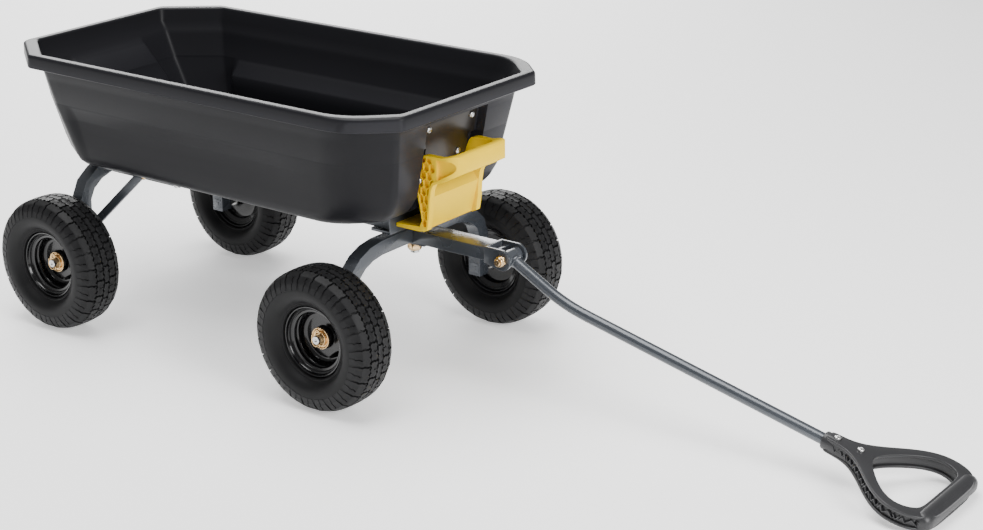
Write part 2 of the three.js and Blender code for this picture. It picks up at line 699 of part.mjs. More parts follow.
// ---- Tub ----
// Each level gives the height, the rear and front walls, the half-width of the long walls,
// how far the ledge's lower panel stands in from them, and the corner's share of its size.
const rimSide = TUB_HALF - LIP_W;
const lean = 0.19;
const sideAt = (z) => rimSide - lean * (TUB_TOP - LIP_H - z);
const lipLow = TUB_TOP - LIP_H;
const LEVELS = [
  { z: TUB_BOTTOM, x0: TUB_REAR + 137, x1: TUB_FRONT - 118, y: sideAt(318) - 35, step: 0, corner: 0.75 },
  { z: TUB_BOTTOM + 3, x0: TUB_REAR + 110, x1: TUB_FRONT - 97, y: sideAt(318) - 20, step: 0, corner: 0.82 },
  { z: TUB_BOTTOM + 13, x0: TUB_REAR + 94, x1: TUB_FRONT - 79, y: sideAt(318), step: 0, corner: 0.88 },
  { z: 351, x0: TUB_REAR + 78, x1: frontWall(351), y: sideAt(351), step: 6, corner: 0.92 },
  { z: 400, x0: TUB_REAR + 55, x1: frontWall(400), y: sideAt(400), step: 14, corner: 0.95 },
  { z: 423, x0: TUB_REAR + 44, x1: frontWall(423), y: sideAt(423), step: 0, corner: 0.96 },
  { z: lipLow, x0: TUB_REAR + LIP_W - 3, x1: TUB_FRONT - LIP_W - 9, y: rimSide, step: 0, corner: 1 },
];

function tubRing(level, inset, z) {
  const { x0, x1, y, step, corner } = level;
  const rear = x0 + inset;
  const front = x1 - inset;
  const side = y - inset;
  const trim = inset * 0.6;
  const frontX = front - FRONT_CORNER_X * corner + trim;
  const frontY = side - FRONT_CORNER_Y * corner + trim;
  const rearX = rear + REAR_CORNER_X * corner - trim;
  const rearY = side - REAR_CORNER_Y * corner + trim;
  const ahead = Math.min(LEDGE_FRONT - inset, frontX - 5);
  const behind = Math.max(LEDGE_REAR + inset, rearX + 5);
  const half = [[front, frontY], [frontX, side], [ahead, side],
    [ahead - LEDGE_RUN, side - step], [behind + LEDGE_RUN, side - step],
    [behind, side], [rearX, side], [rear, rearY]];
  const points = [...half, ...half.map(([px, py]) => [px, -py]).reverse()];
  return points.map(([px, py]) => [px, py, z]);
}

function lipRing(outset, z) {
  const half = [[TUB_FRONT, TUB_HALF - FRONT_CORNER_Y], [TUB_FRONT - FRONT_CORNER_X, TUB_HALF],
    [TUB_REAR + REAR_CORNER_X, TUB_HALF], [TUB_REAR, TUB_HALF - REAR_CORNER_Y]];
  const mid = (TUB_REAR + TUB_FRONT) / 2;
  const points = [...half, ...half.map(([px, py]) => [px, -py]).reverse()];
  return points.map(([px, py]) => {
    const sx = Math.sign(px - mid);
    const corner = Math.abs(py) === TUB_HALF ? 0.5 : 1;
    return [px + sx * outset * corner, py + Math.sign(py) * outset * (1.5 - corner), z];
  });
}

function recess(half, depth, top, low) {
  const shape = outline([[frontWall(low) - depth, low], [frontWall(low) + 60, low],
    [frontWall(top) + 60, top], [frontWall(top) - depth, top]]);
  return prismY(shape, -half, half);
}

function tub() {
  const last = LEVELS[LEVELS.length - 1];
  const inBand = { ...last, x0: TUB_REAR + LIP_W, x1: TUB_FRONT - LIP_W, y: rimSide };
  const outer = loft([...LEVELS.map((level) => tubRing(level, 0, level.z)),
    tubRing(inBand, -TUB_WALL, TUB_TOP - 1)]);
  const lip = cut(loft([lipRing(0, lipLow), lipRing(0, TUB_TOP)]),
    loft([lipRing(-LIP_T, lipLow - 1), lipRing(-LIP_T, TUB_TOP - LIP_T)]));
  const room = loft([
    ...LEVELS.map((level) => tubRing(level, TUB_WALL, level.z + (level.z < 320 ? TUB_WALL : 0))),
    tubRing(inBand, 0, TUB_TOP), tubRing(inBand, 0, TUB_TOP + 1)]);
  const low = TUB_BOTTOM - 30;
  const bump = recess(RECESS_HALF + TUB_WALL, SLOT_DEPTH + TUB_WALL, RECESS_TOP + TUB_WALL, low);
  const slots = cut(recess(RECESS_HALF, SLOT_DEPTH, SLOT_TOP, low),
    recess(NECK_HALF + FIT, SLOT_DEPTH + 5, TUB_TOP, low - 20));
  return cut(join(outer, lip), cut(room, bump),
    recess(RECESS_HALF, PAD_DEPTH, RECESS_TOP, low), slots);
}
const tubGroup = new THREE.Group();
model.add(tubGroup);

const boltRows = [[PLATE_BOLT_HIGH, PLATE_BOLT_Y], [PLATE_BOLT_LOW, PLATE_BOLT_LOW_Y]];
const boltAxis = (z, radius, length, back) => {
  const geometry = new THREE.CylinderGeometry(radius, radius, length, 12);
  geometry.rotateZ(Math.PI / 2);
  geometry.translate(length / 2 - back, 0, 0);
  geometry.rotateY(Math.atan(WALL_SLOPE));
  geometry.translate(frontWall(z) - PAD_DEPTH + FIT, 0, z);
  return geometry;
};
const plateHoles = boltRows.flatMap(([z, y]) => [1, -1].map((side) => (
  solid(boltAxis(z, PLATE_BOLT_D / 2 + FIT, 60, 30).translate(0, side * y, 0)))));
place(tubGroup, 'tub', cut(tub(), ...plateHoles), POLY);

// The lever's bracket: a flat plate on the recess's pad, and two ears that carry the rod.
function leverBore(radius, y0, y1) {
  const geometry = rod(radius, y0, y1, 12);
  geometry.translate(LEVER_X, 0, LEVER_Z);
  return solid(geometry);
}

function leverBracket() {
  const back = (z) => frontWall(z) - PAD_DEPTH + FIT;
  const face = (z) => back(z) + SHEET;
  const slab = (half, z0, z1) => prismY(outline([
    [back(z0), z0], [face(z0), z0], [face(z1), z1], [back(z1), z1]]), -half, half);
  const low = LEVER_Z - 30;
  const ear = (side) => {
    const shape = new THREE.Shape();
    shape.moveTo(back(LEVER_Z - 12), LEVER_Z - 12);
    shape.lineTo(LEVER_X, LEVER_Z - EAR_R + 1);
    shape.absarc(LEVER_X, LEVER_Z, EAR_R - 1, -Math.PI / 2, Math.PI / 2, false);
    shape.lineTo(back(LEVER_Z + 12), LEVER_Z + 12);
    return prismY(shape, side * LEVER_EAR_Y - SHEET / 2, side * LEVER_EAR_Y + SHEET / 2, 8);
  };
  return cut(join(slab(NECK_HALF, low, SLOT_TOP + 1), slab(HEAD_HALF, SLOT_TOP + FIT, RECESS_TOP - 7),
    ear(1), ear(-1)), ...plateHoles, leverBore(ROD_D / 2 + FIT, -TRACK, TRACK));
}
place(tubGroup, 'lever_bracket', leverBracket(), BRACKET);

boltRows.forEach(([z, y], row) => {
  [1, -1].forEach((side, column) => {
    const shank = solid(boltAxis(z, PLATE_BOLT_D / 2, 20, 12));
    const head = solid(boltAxis(z, PLATE_BOLT_D * 0.8, 3, -SHEET - FIT));
    const bolt = surface(join(shank, head)).translate(0, side * y, 0);
    place(tubGroup, `plate_bolt_${row * 2 + column + 1}`, bolt, ZINC);
  });
});
place(tubGroup, 'lever_rod', leverBore(ROD_D / 2, -LEVER_HALF - 4, LEVER_HALF + 4), ZINC);

// Two brackets below the tub's floor hang on the hinge rod, just outside the arch's lugs.
function tubHinge(side) {
  const y0 = side * (LUG_Y + EAR_T / 2 + FIT);
  const y1 = y0 + side * EAR_T;
  const [a, b] = [Math.min(y0, y1), Math.max(y0, y1)];
  const foot = block(HINGE_X - EAR_R, HINGE_X + 5 * EAR_R, a - 4 * EAR_T * (side < 0),
    b + 4 * EAR_T * (side > 0), HINGE_RISE - SHEET, HINGE_RISE);
  return cut(join(hingeEar(a, b), foot), hingeBore(FIT));
}
place(tubGroup, 'tub_hinge_left', tubHinge(1), FRAME);
place(tubGroup, 'tub_hinge_right', tubHinge(-1), FRAME);

// ---- Latch lever ----
const lever = new THREE.Group();
model.add(lever);

// Outlines below are [x, z] from the lever's rod.
const fromRod = (points) => outline(points.map(([x, z]) => [LEVER_X + x, LEVER_Z + z]));
const cheekShape = () => fromRod([[3, 40], [-5, 20], [-9, -2], [-6, -22], [-1, -42], [5, -74],
  [-4, -90], [18, -86], [21, -59], [23, -31], [30, -4], [46, 1], [80, 20], [86, 26], [86, 43],
  [77, 52], [55, 49], [23, 47], [9, 46]]);
const barShape = () => fromRod([[62, 28], [80, 20], [86, 25], [86, 43], [77, 52], [62, 49]]);
const panelShape = () => {
  const toe = TOE_X - LEVER_X;
  return fromRod([[22, -29], [7, -88], [0, -91], [toe, -93.5], [toe, -86.5], [0, -83], [16, -33],
    [8, -27], [10, -22]]);
};

function latchLever() {
  const inner = LEVER_HALF - CHEEK_T;
  const cheek = (y0, y1) => prismY(cheekShape(), y0, y1);
  const toeOnly = block(TOE_X - 1, LEVER_X - 8, -LEVER_HALF, LEVER_HALF, 0, LEVER_Z);
  const panel = prismY(panelShape(), -inner - 1, inner + 1);
  const toe = prismY(panelShape(), -LEVER_HALF, LEVER_HALF).intersect(toeOnly);
  return cut(join(cheek(inner, LEVER_HALF), cheek(-LEVER_HALF, -inner),
    prismY(barShape(), -inner - 1, inner + 1), panel, toe),
  leverBore(ROD_D / 2 + FIT, -TRACK, TRACK));
}
place(lever, 'latch_lever', latchLever(), YELLOW);

// The torsion spring is wound on the rod beside the right ear.
class Coil extends THREE.Curve {
  getPoint(t, target = new THREE.Vector3()) {
    const radius = ROD_D / 2 + SPRING_WIRE / 2 + FIT;
    const angle = t * SPRING_TURNS * 2 * Math.PI;
    const pitch = SPRING_WIRE + FIT;
    return target.set(LEVER_X + radius * Math.cos(angle), t * SPRING_TURNS * pitch - LEVER_EAR_Y + 5,
      LEVER_Z + radius * Math.sin(angle));
  }
}
const wire = outline([[0.5, 0], [0, 0.5], [-0.5, 0], [0, -0.5]].map(([a, b]) => (
  [a * SPRING_WIRE, b * SPRING_WIRE])));
place(lever, 'lever_spring', tidy(new THREE.ExtrudeGeometry(wire, {
  steps: SPRING_TURNS * 8, bevelEnabled: false, extrudePath: new Coil() })), ZINC);

// ---- Origin ----
model.updateMatrixWorld(true);
const bounds = new THREE.Box3().setFromObject(model, true);
model.position.set(-(bounds.min.x + bounds.max.x) / 2, -(bounds.min.y + bounds.max.y) / 2, -bounds.min.z);

export default cart;
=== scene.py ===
import math
import bpy
import bmesh
from mathutils import Matrix, Vector


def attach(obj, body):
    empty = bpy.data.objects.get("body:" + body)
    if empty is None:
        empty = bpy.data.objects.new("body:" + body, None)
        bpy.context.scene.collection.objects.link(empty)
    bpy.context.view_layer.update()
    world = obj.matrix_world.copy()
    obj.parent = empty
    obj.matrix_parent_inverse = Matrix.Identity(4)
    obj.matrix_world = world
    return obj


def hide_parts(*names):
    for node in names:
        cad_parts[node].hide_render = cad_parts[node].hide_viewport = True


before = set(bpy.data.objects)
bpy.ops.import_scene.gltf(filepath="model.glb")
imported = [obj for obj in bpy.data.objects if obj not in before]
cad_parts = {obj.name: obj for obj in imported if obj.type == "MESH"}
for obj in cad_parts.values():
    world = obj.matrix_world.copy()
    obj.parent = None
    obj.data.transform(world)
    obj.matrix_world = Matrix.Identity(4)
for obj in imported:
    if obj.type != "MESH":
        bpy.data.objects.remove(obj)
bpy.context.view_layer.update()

# ---- Studio ----
# The cart stands on a plain pale floor under soft lights from above, from behind and from
# the front, and is seen from its front right.
bpy.ops.object.select_all(action="DESELECT")
bpy.ops.mesh.primitive_plane_add(size=1, location=(0, 0, 0))
floor = bpy.context.object
floor.name = "floor"
bpy.ops.transform.resize(value=(40, 40, 1))
floor_paint = bpy.data.materials.new("floor_white")
floor_paint.use_nodes = True
floor_shader = floor_paint.node_tree.nodes["Principled BSDF"]
floor_shader.inputs["Base Color"].default_value = (0.97, 0.97, 0.97, 1)
floor_shader.inputs["Roughness"].default_value = 0.75
floor_shader.inputs["Emission Color"].default_value = (1, 1, 1, 1)
floor_shader.inputs["Emission Strength"].default_value = 0.5
floor.data.materials.append(floor_paint)

sky = bpy.data.worlds.new("studio")
bpy.context.scene.world = sky
sky.use_nodes = True
sky.node_tree.nodes["Background"].inputs["Color"].default_value = (1, 1, 1, 1)
sky.node_tree.nodes["Background"].inputs["Strength"].default_value = 0.38


def soft_light(name, at, towards, width, height, power):
    """A rectangular soft box at one point that faces another."""
    bpy.ops.object.light_add(type="AREA", location=at)
    light = bpy.context.object
    light.name = name
    light.data.shape = "RECTANGLE"
    light.data.size = width
    light.data.size_y = height
    light.data.energy = power
    light.rotation_euler = (Vector(towards) - Vector(at)).to_track_quat("-Z", "Y").to_euler()


soft_light("overhead", (-0.6, -0.2, 3.4), (-0.4, 0, 0.3), 3.0, 2.4, 190)
soft_light("back_bank", (-3.0, 2.7, 1.7), (-0.5, 0, 0.35), 3.2, 1.6, 120)
soft_light("front_bank", (3.0, -0.6, 1.6), (-0.1, 0, 0.3), 1.6, 1.4, 100)

bpy.ops.object.camera_add(location=(2.0247, -2.643, 1.416))
camera = bpy.context.object
camera.rotation_euler = (Matrix.Rotation(math.radians(36.9), 3, "Z")
                         @ Matrix.Rotation(math.radians(90 - 19.9), 3, "X")
                         @ Matrix.Rotation(math.radians(-0.43), 3, "Z")).to_euler()
camera.data.sensor_width = 36
camera.data.lens = 74.16
camera.data.clip_end = 60
bpy.context.scene.camera = camera

# ---- Tub ----
# One rotation-moulded polyethylene tub with a rolled lip, chamfered corners, a sitting
# ledge along both sides and a recess in front for the latch. The walls are 5 mm thick.
axle_middle = Vector((-0.460288, 0, 0))     # halfway between the axles, on the ground


def let_go():
    if bpy.context.mode != "OBJECT":
        bpy.ops.object.mode_set(mode="OBJECT")
    bpy.ops.object.select_all(action="DESELECT")


def hold(piece, *others):
    """Takes one piece in hand, with any others picked beside it."""
    let_go()
    for each in (piece, *others):
        each.select_set(True)
    bpy.context.view_layer.objects.active = piece


def take_up(piece):
    """Opens a piece for shaping, with nothing on it selected."""
    hold(piece)
    bpy.ops.object.mode_set(mode="EDIT")
    bpy.ops.mesh.select_all(action="DESELECT")


def pick(kind, chosen):
    """Selects the corners, edges or faces of the piece in hand that pass a test."""
    bpy.ops.mesh.select_mode(type=kind)
    bpy.ops.mesh.select_all(action="DESELECT")
    shape = bmesh.from_edit_mesh(bpy.context.object.data)
    shape.normal_update()
    for item in {"VERT": shape.verts, "EDGE": shape.edges, "FACE": shape.faces}[kind]:
        if chosen(item):
            item.select_set(True)
    shape.select_flush_mode()
    bmesh.update_edit_mesh(bpy.context.object.data)


def whole():
    """Selects all of the piece that is open for shaping."""
    bpy.ops.mesh.select_all(action="SELECT")


def merge_corners(gap=1e-6):
    """Makes corners that lie within the gap one."""
    whole()
    bpy.ops.mesh.remove_doubles(threshold=gap)


def face_out():
    """Turns every face to point outwards."""
    whole()
    bpy.ops.mesh.normals_make_consistent(inside=False)


def draw_line(name, points):
    """A line through the points, pulled out corner by corner from one small plane."""
    let_go()
    bpy.ops.mesh.primitive_plane_add(size=0.001, location=points[0])
    piece = bpy.context.object
    piece.name = name
    piece.data.name = name
    bpy.ops.object.mode_set(mode="EDIT")
    bpy.ops.mesh.select_mode(type="VERT")
    bpy.ops.mesh.merge(type="CENTER")
    for before, after in zip(points, points[1:]):
        bpy.ops.mesh.extrude_vertices_move(
            TRANSFORM_OT_translate={"value": Vector(after) - Vector(before)})
    whole()
    return piece


def draw_slab(name, points, depth):
    """A slab with this outline, pulled out by depth."""
    piece = draw_line(name, points)
    bpy.ops.mesh.edge_face_add()
    bpy.ops.mesh.extrude_region_move(TRANSFORM_OT_translate={"value": depth})
    face_out()
    fix_place(piece)
    return piece


def draw_turned(name, profile, steps, axis="Y"):
    """A closed [radius, along] profile turned once round an axis through the origin."""
    place = {"Y": lambda r, a: (0, a, r), "Z": lambda r, a: (r, 0, a), "X": lambda r, a: (a, 0, r)}
    piece = draw_line(name, [place[axis](r, a) for r, a in [*profile, profile[0]]])
    merge_corners()
    whole()
    turn = {"X": (1, 0, 0), "Y": (0, 1, 0), "Z": (0, 0, 1)}[axis]
    bpy.ops.mesh.spin(steps=steps, angle=2 * math.pi, center=(0, 0, 0), axis=turn)
    merge_corners()
    whole()
    bpy.ops.mesh.dissolve_degenerate(threshold=1e-7)
    face_out()
    fix_place(piece)
    return piece


def fix_place(piece):
    """Puts a piece's place, turn and size into its mesh."""
    hold(piece)
    bpy.ops.object.transform_apply(location=True, rotation=True, scale=True)


def finish_with(piece, kind, name, **settings):
    """Adds one modifier and applies it."""
    hold(piece)
    step = piece.modifiers.new(name, kind)
    for setting, value in settings.items():
        setattr(step, setting, value)
    bpy.ops.object.modifier_apply(modifier=name)


def soften(piece, width, segments=2, angle=35):
    """Rounds every edge that turns by more than the angle."""
    finish_with(piece, "BEVEL", "rounding", width=width, segments=segments, limit_method="ANGLE",
                angle_limit=math.radians(angle), use_clamp_overlap=True, miter_outer="MITER_ARC")


def carve(piece, tool, how="DIFFERENCE"):
    """Cuts, joins or crosses a piece with a tool, which is used up."""
    fix_place(piece)
    fix_place(tool)
    finish_with(piece, "BOOLEAN", "carving", operation=how, solver="EXACT", object=tool)
    bpy.data.objects.remove(tool)


def merge_pieces(piece, others):
    """Makes several objects one piece."""
    hold(piece, *others)
    bpy.ops.object.join()
    fix_place(piece)
    return piece


def copy_piece(piece, name, turn=0.0, at=(0, 0, 0)):
    """A copy with its own mesh, turned about the upright axis and then moved."""
    fix_place(piece)
    bpy.ops.object.duplicate(linked=False)
    twin = bpy.context.object
    twin.name = name
    twin.data.name = name
    twin.matrix_world = Matrix.Translation(Vector(at)) @ Matrix.Rotation(turn, 4, "Z")
    fix_place(twin)
    return twin


def fit_piece(piece, body, material, nodes=(), smooth=35):
    """Moves a finished piece from the axles' middle to its place, and hangs it on its body."""
    fix_place(piece)
    piece.location = axle_middle
    fix_place(piece)
    bpy.ops.object.shade_smooth_by_angle(angle=math.radians(smooth))
    piece.data.materials.clear()
    piece.data.materials.append(material)
    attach(piece, body)
    if nodes:
        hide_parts(*nodes)
    let_go()


def effect(name, takes, gives):
    """A shader node group with named inputs and outputs."""
    group = bpy.data.node_groups.new(name, "ShaderNodeTree")
    for socket, (kind, value) in takes.items():
        made = group.interface.new_socket(name=socket, in_out="INPUT", socket_type=kind)
        if value is not None:
            made.default_value = value
    for socket, kind in gives.items():
        group.interface.new_socket(name=socket, in_out="OUTPUT", socket_type=kind)
    return group, group.nodes.new("NodeGroupInput"), group.nodes.new("NodeGroupOutput")


# Slow cloudy variation of a colour, from batch to batch and patch to patch of one moulding.
clouding, clouding_in, clouding_out = effect(
    "clouding",
    {"Place": ("NodeSocketVector", None), "Colour": ("NodeSocketColor", (0.5, 0.5, 0.5, 1)),
     "Size": ("NodeSocketFloat", 8.0), "Amount": ("NodeSocketFloat", 0.2)},
    {"Colour": "NodeSocketColor"})
cloud_noise = clouding.nodes.new("ShaderNodeTexNoise")
cloud_noise.inputs["Detail"].default_value = 5
cloud_span = clouding.nodes.new("ShaderNodeMapRange")
cloud_span.inputs["From Min"].default_value = 0.3
cloud_span.inputs["From Max"].default_value = 0.7
cloud_low = clouding.nodes.new("ShaderNodeMath")
cloud_low.operation = "SUBTRACT"
cloud_low.inputs[0].default_value = 1
cloud_high = clouding.nodes.new("ShaderNodeMath")
cloud_high.operation = "ADD"
cloud_high.inputs[0].default_value = 1
cloud_tint = clouding.nodes.new("ShaderNodeVectorMath")
cloud_tint.operation = "SCALE"
for source, target in [
        (clouding_in.outputs["Place"], cloud_noise.inputs["Vector"]),
        (clouding_in.outputs["Size"], cloud_noise.inputs["Scale"]),
        (clouding_in.outputs["Amount"], cloud_low.inputs[1]),
        (clouding_in.outputs["Amount"], cloud_high.inputs[1]),
        (cloud_noise.outputs["Fac"], cloud_span.inputs["Value"]),
        (cloud_low.outputs[0], cloud_span.inputs["To Min"]),
        (cloud_high.outputs[0], cloud_span.inputs["To Max"]),
        (clouding_in.outputs["Colour"], cloud_tint.inputs[0]),
        (cloud_span.outputs["Result"], cloud_tint.inputs["Scale"]),
        (cloud_tint.outputs["Vector"], clouding_out.inputs["Colour"])]:
    clouding.links.new(source, target)

# Fine mould or powder texture: a grain height, and the roughness that goes with it.
grain, grain_in, grain_out = effect(
    "grain",
    {"Place": ("NodeSocketVector", None), "Fineness": ("NodeSocketFloat", 900.0),
     "Roughness": ("NodeSocketFloat", 0.5), "Spread": ("NodeSocketFloat", 0.05)},
    {"Height": "NodeSocketFloat", "Roughness": "NodeSocketFloat"})
grain_noise = grain.nodes.new("ShaderNodeTexNoise")
grain_noise.inputs["Detail"].default_value = 3
grain_smears = grain.nodes.new("ShaderNodeTexNoise")
grain_smears.inputs["Scale"].default_value = 14
grain_smears.inputs["Detail"].default_value = 6
grain_share = grain.nodes.new("ShaderNodeMath")
grain_share.operation = "SUBTRACT"
grain_share.inputs[1].default_value = 0.5
grain_spread = grain.nodes.new("ShaderNodeMath")
grain_spread.operation = "MULTIPLY_ADD"
for source, target in [
        (grain_in.outputs["Place"], grain_noise.inputs["Vector"]),
        (grain_in.outputs["Place"], grain_smears.inputs["Vector"]),
        (grain_in.outputs["Fineness"], grain_noise.inputs["Scale"]),
        (grain_smears.outputs["Fac"], grain_share.inputs[0]),
        (grain_share.outputs[0], grain_spread.inputs[0]),
        (grain_in.outputs["Spread"], grain_spread.inputs[1]),
        (grain_in.outputs["Roughness"], grain_spread.inputs[2]),
        (grain_noise.outputs["Fac"], grain_out.inputs["Height"]),
        (grain_spread.outputs[0], grain_out.inputs["Roughness"])]:
    grain.links.new(source, target)

# Painted edge highlights: edges are coloured lighter, as if they caught the light, by how sharply the
# surface turns.
painted_edge_highlight, edge_in, edge_out = effect(
    "painted_edge_highlight",
    {"Colour": ("NodeSocketColor", (0.5, 0.5, 0.5, 1)), "Edge": ("NodeSocketColor", (1, 1, 1, 1)),
     "Amount": ("NodeSocketFloat", 0.5)},
    {"Colour": "NodeSocketColor"})
edge_geometry = painted_edge_highlight.nodes.new("ShaderNodeNewGeometry")
edge_span = painted_edge_highlight.nodes.new("ShaderNodeMapRange")
edge_span.inputs["From Min"].default_value = 0.51
edge_span.inputs["From Max"].default_value = 0.62
edge_share = painted_edge_highlight.nodes.new("ShaderNodeMath")
edge_share.operation = "MULTIPLY"
edge_mix = painted_edge_highlight.nodes.new("ShaderNodeMix")
edge_mix.data_type = "RGBA"
for source, target in [
        (edge_geometry.outputs["Pointiness"], edge_span.inputs["Value"]),
        (edge_span.outputs["Result"], edge_share.inputs[0]),
        (edge_in.outputs["Amount"], edge_share.inputs[1]),
        (edge_share.outputs[0], edge_mix.inputs["Factor"]),
        (edge_in.outputs["Colour"], edge_mix.inputs["A"]),
        (edge_in.outputs["Edge"], edge_mix.inputs["B"]),
        (edge_mix.outputs["Result"], edge_out.inputs["Colour"])]:
    painted_edge_highlight.links.new(source, target)


def place_effect(material, group, **values):
    """Puts one of the effects above into a material, with its own values."""
    node = material.node_tree.nodes.new("ShaderNodeGroup")
    node.node_tree = group
    for socket, value in values.items():
        node.inputs[socket].default_value = value
    return node


def mix_finish(name, colour, edge, rough, spread, fineness, depth, size=6.0, amount=0.1,
               edge_highlight_amount=0.3, **sockets):
    """A coated or moulded finish: clouded colour, painted highlights on sharp edges and a fine grain.
    """
    material = bpy.data.materials.new(name)
    material.use_nodes = True
    nodes = material.node_tree.nodes
    links = material.node_tree.links
    shader = nodes["Principled BSDF"]
    for socket, value in sockets.items():
        shader.inputs[socket.replace("_", " ")].default_value = value
    place = nodes.new("ShaderNodeTexCoord").outputs["Object"]
    clouds = place_effect(material, clouding, Colour=(*colour, 1), Size=size, Amount=amount)
    # Sharp edges are painted lighter here, as a highlight.
    highlit_colour = place_effect(material, painted_edge_highlight, Edge=(*edge, 1), Amount=edge_highlight_amount)
    skin = place_effect(material, grain, Fineness=fineness, Roughness=rough, Spread=spread)
    bump = nodes.new("ShaderNodeBump")
    bump.inputs["Strength"].default_value = 1
    bump.inputs["Distance"].default_value = depth
    links.new(place, clouds.inputs["Place"])
    links.new(place, skin.inputs["Place"])
    links.new(clouds.outputs["Colour"], highlit_colour.inputs["Colour"])
    links.new(highlit_colour.outputs["Colour"], shader.inputs["Base Color"])
    links.new(skin.outputs["Roughness"], shader.inputs["Roughness"])
    links.new(skin.outputs["Height"], bump.inputs["Height"])
    links.new(bump.outputs["Normal"], shader.inputs["Normal"])
    return material


tub_poly = mix_finish("tub_poly", (0.0090, 0.0090, 0.0108), (0.032, 0.032, 0.037), 0.38, 0.05, 1500,
                      0.00004, size=3.0, amount=0.08, edge_highlight_amount=0.5, Specular_IOR_Level=0.13)

tub_wall = 0.005
tub_slope = 0.198                            # forward lean of the front wall
tub_floor = 0.305
lip_top = 0.521
lip_low = 0.496
lip_edge, lip_inner_edge = 0.0055, 0.004     # roundings along the top of the lip
tub_rear, tub_front, tub_half = -0.466, 0.463, 0.256
front_chamfer = (0.072, 0.070)
rear_chamfer = (0.098, 0.075)
ledge_front, ledge_rear, ledge_run = 0.300, -0.315, 0.022
recess_half, neck_half = 0.084, 0.060
recess_top, slot_top = 0.479, 0.428
# height, rear wall, front wall, half-width, ledge, share of the corner chamfer
tub_levels = [
    (0.3050, -0.328, 0.345, 0.168, 0.0, 0.75), (0.3056, -0.341, 0.356, 0.180, 0.0, 0.79),
    (0.3078, -0.353, 0.366, 0.191, 0.0, 0.82), (0.3115, -0.362, 0.375, 0.197, 0.0, 0.85),
    (0.3180, -0.371, 0.384, 0.2025, 0.001, 0.88), (0.3290, -0.378, 0.394, 0.206, 0.003, 0.9),
    (0.3510, -0.387, 0.4070, 0.2098, 0.008, 0.92), (0.3750, -0.398, 0.4118, 0.2144, 0.0145, 0.935),
    (0.3960, -0.408, 0.4160, 0.2184, 0.0195, 0.945), (0.4000, -0.410, 0.4168, 0.2190, 0.0185, 0.95),
    (0.4230, -0.421, 0.4213, 0.2235, 0.0020, 0.96), (0.4270, -0.4222, 0.4221, 0.2242, 0.0, 0.962),
    (0.4279, -0.4224, 0.4223, 0.2243, 0.0, 0.963), (0.4281, -0.4225, 0.4224, 0.2244, 0.0, 0.964),
    (0.4640, -0.4358, 0.4295, 0.2311, 0.0, 0.98), (0.4700, -0.4380, 0.4307, 0.2323, 0.0, 0.985),
    (0.4789, -0.4413, 0.4324, 0.2340, 0.0, 0.99), (0.4791, -0.4414, 0.4325, 0.2341, 0.0, 0.99),
    (0.4960, -0.4500, 0.4360, 0.2370, 0.0, 1.0)]


def tub_front_at(z):
    return 0.4118 + tub_slope * (z - 0.375)


def rounded_corner(before, corner, after, radius, count=5):
    """Points on an arc that rounds one corner of a ring."""
    to_before = (before - corner).normalized()
    to_after = (after - corner).normalized()
    half = math.acos(max(-1, min(1, to_before.dot(to_after)))) / 2
    radius = min(radius, 0.45 * (before - corner).length * math.tan(half),
                 0.45 * (after - corner).length * math.tan(half))
    reach = radius / math.tan(half)
    centre = corner + (to_before + to_after).normalized() * (radius / math.sin(half))
    first = corner + to_before * reach - centre
    last = corner + to_after * reach - centre
    swing = math.atan2(first.x * last.y - first.y * last.x, first.dot(last))
    return [centre + Matrix.Rotation(swing * i / (count - 1), 2) @ first for i in range(count)]


def tub_ring(z, rear, front, half, ledge, share, slot, pad, radius, inset=0.0):
    """One level ring of the tub, anticlockwise from the middle of its front."""
    fx, fy = [size * share - 0.6 * inset for size in front_chamfer]
    lower = min(1, max(0, (lip_low - z) / 0.145))
    rx = rear_chamfer[0] * share * (1 - 0.22 * lower) - 0.6 * inset
    ry = rear_chamfer[1] * share * (1 - 0.36 * lower) - 0.6 * inset
    a, b = Vector((front, half - fy)), Vector((front - fx, half))
    c, d = Vector((rear + rx, half)), Vector((rear, half - ry))
    grow = tub_wall if inset else 0.0
    slot_x = min(front, tub_front_at(z) - slot - grow) if slot else front
    pad_x = min(front, tub_front_at(z) - pad - grow) if pad else front
    quarter = [Vector((pad_x, 0.0)), Vector((pad_x, neck_half + grow)),
               Vector((slot_x, neck_half + grow)), Vector((slot_x, recess_half + grow)),
               Vector((front, recess_half + grow))]
    quarter += rounded_corner(quarter[-1], a, b, radius) + rounded_corner(a, b, c, 5.5 * radius, 9)
    fore = min(ledge_front - inset, b.x - 2.2 * radius)
    aft = max(ledge_rear + inset, c.x + 0.6 * radius)
    fore_run = ledge_run if inset else 0.16
    for start, run, falling in ((fore, fore_run, True), (aft + ledge_run, ledge_run, False)):
        for i in range(5):
            t = i / 4
            ease = t * t * (3 - 2 * t)
            drop = ledge * (ease if falling else 1 - ease)
            quarter.append(Vector((start - run * t, half - drop)))
    quarter += rounded_corner(b, c, d, radius) + rounded_corner(c, d, Vector((rear, 0)), radius)
    raised = 0.012 * min(1, max(0, (0.472 - z) / 0.012)) if inset else 0.0
    edge = min(0.124, 0.098 + 0.375 * max(0, 0.468 - z))
    for i in range(5):
        t = i / 4
        quarter.append(Vector((rear + raised * t * t * (3 - 2 * t), edge - 0.011 * t)))
    quarter.append(Vector((rear + raised, 0.0)))
    other = [Vector((p.x, -p.y)) for p in reversed(quarter[1:-1])]
    return [(p.x, p.y, z) for p in quarter + other]


tub_rows = []
for z, rear, front, half, ledge, share in tub_levels:
    slot = 0.027 if z < slot_top else 0.018 if z < recess_top else 0.0
    pad = 0.018 if z < recess_top else 0.0
    tub_rows.append(tub_ring(z, rear, front, half, 0.4 * ledge, share, slot, pad, 0.022))


def lip_ring(out, z, radius=0.020):
    """A ring of the lip, this far inside the lip's outer face."""
    return tub_ring(z, tub_rear + out, tub_front - out, tub_half - out, 0.0, 1.0, 0, 0, radius)


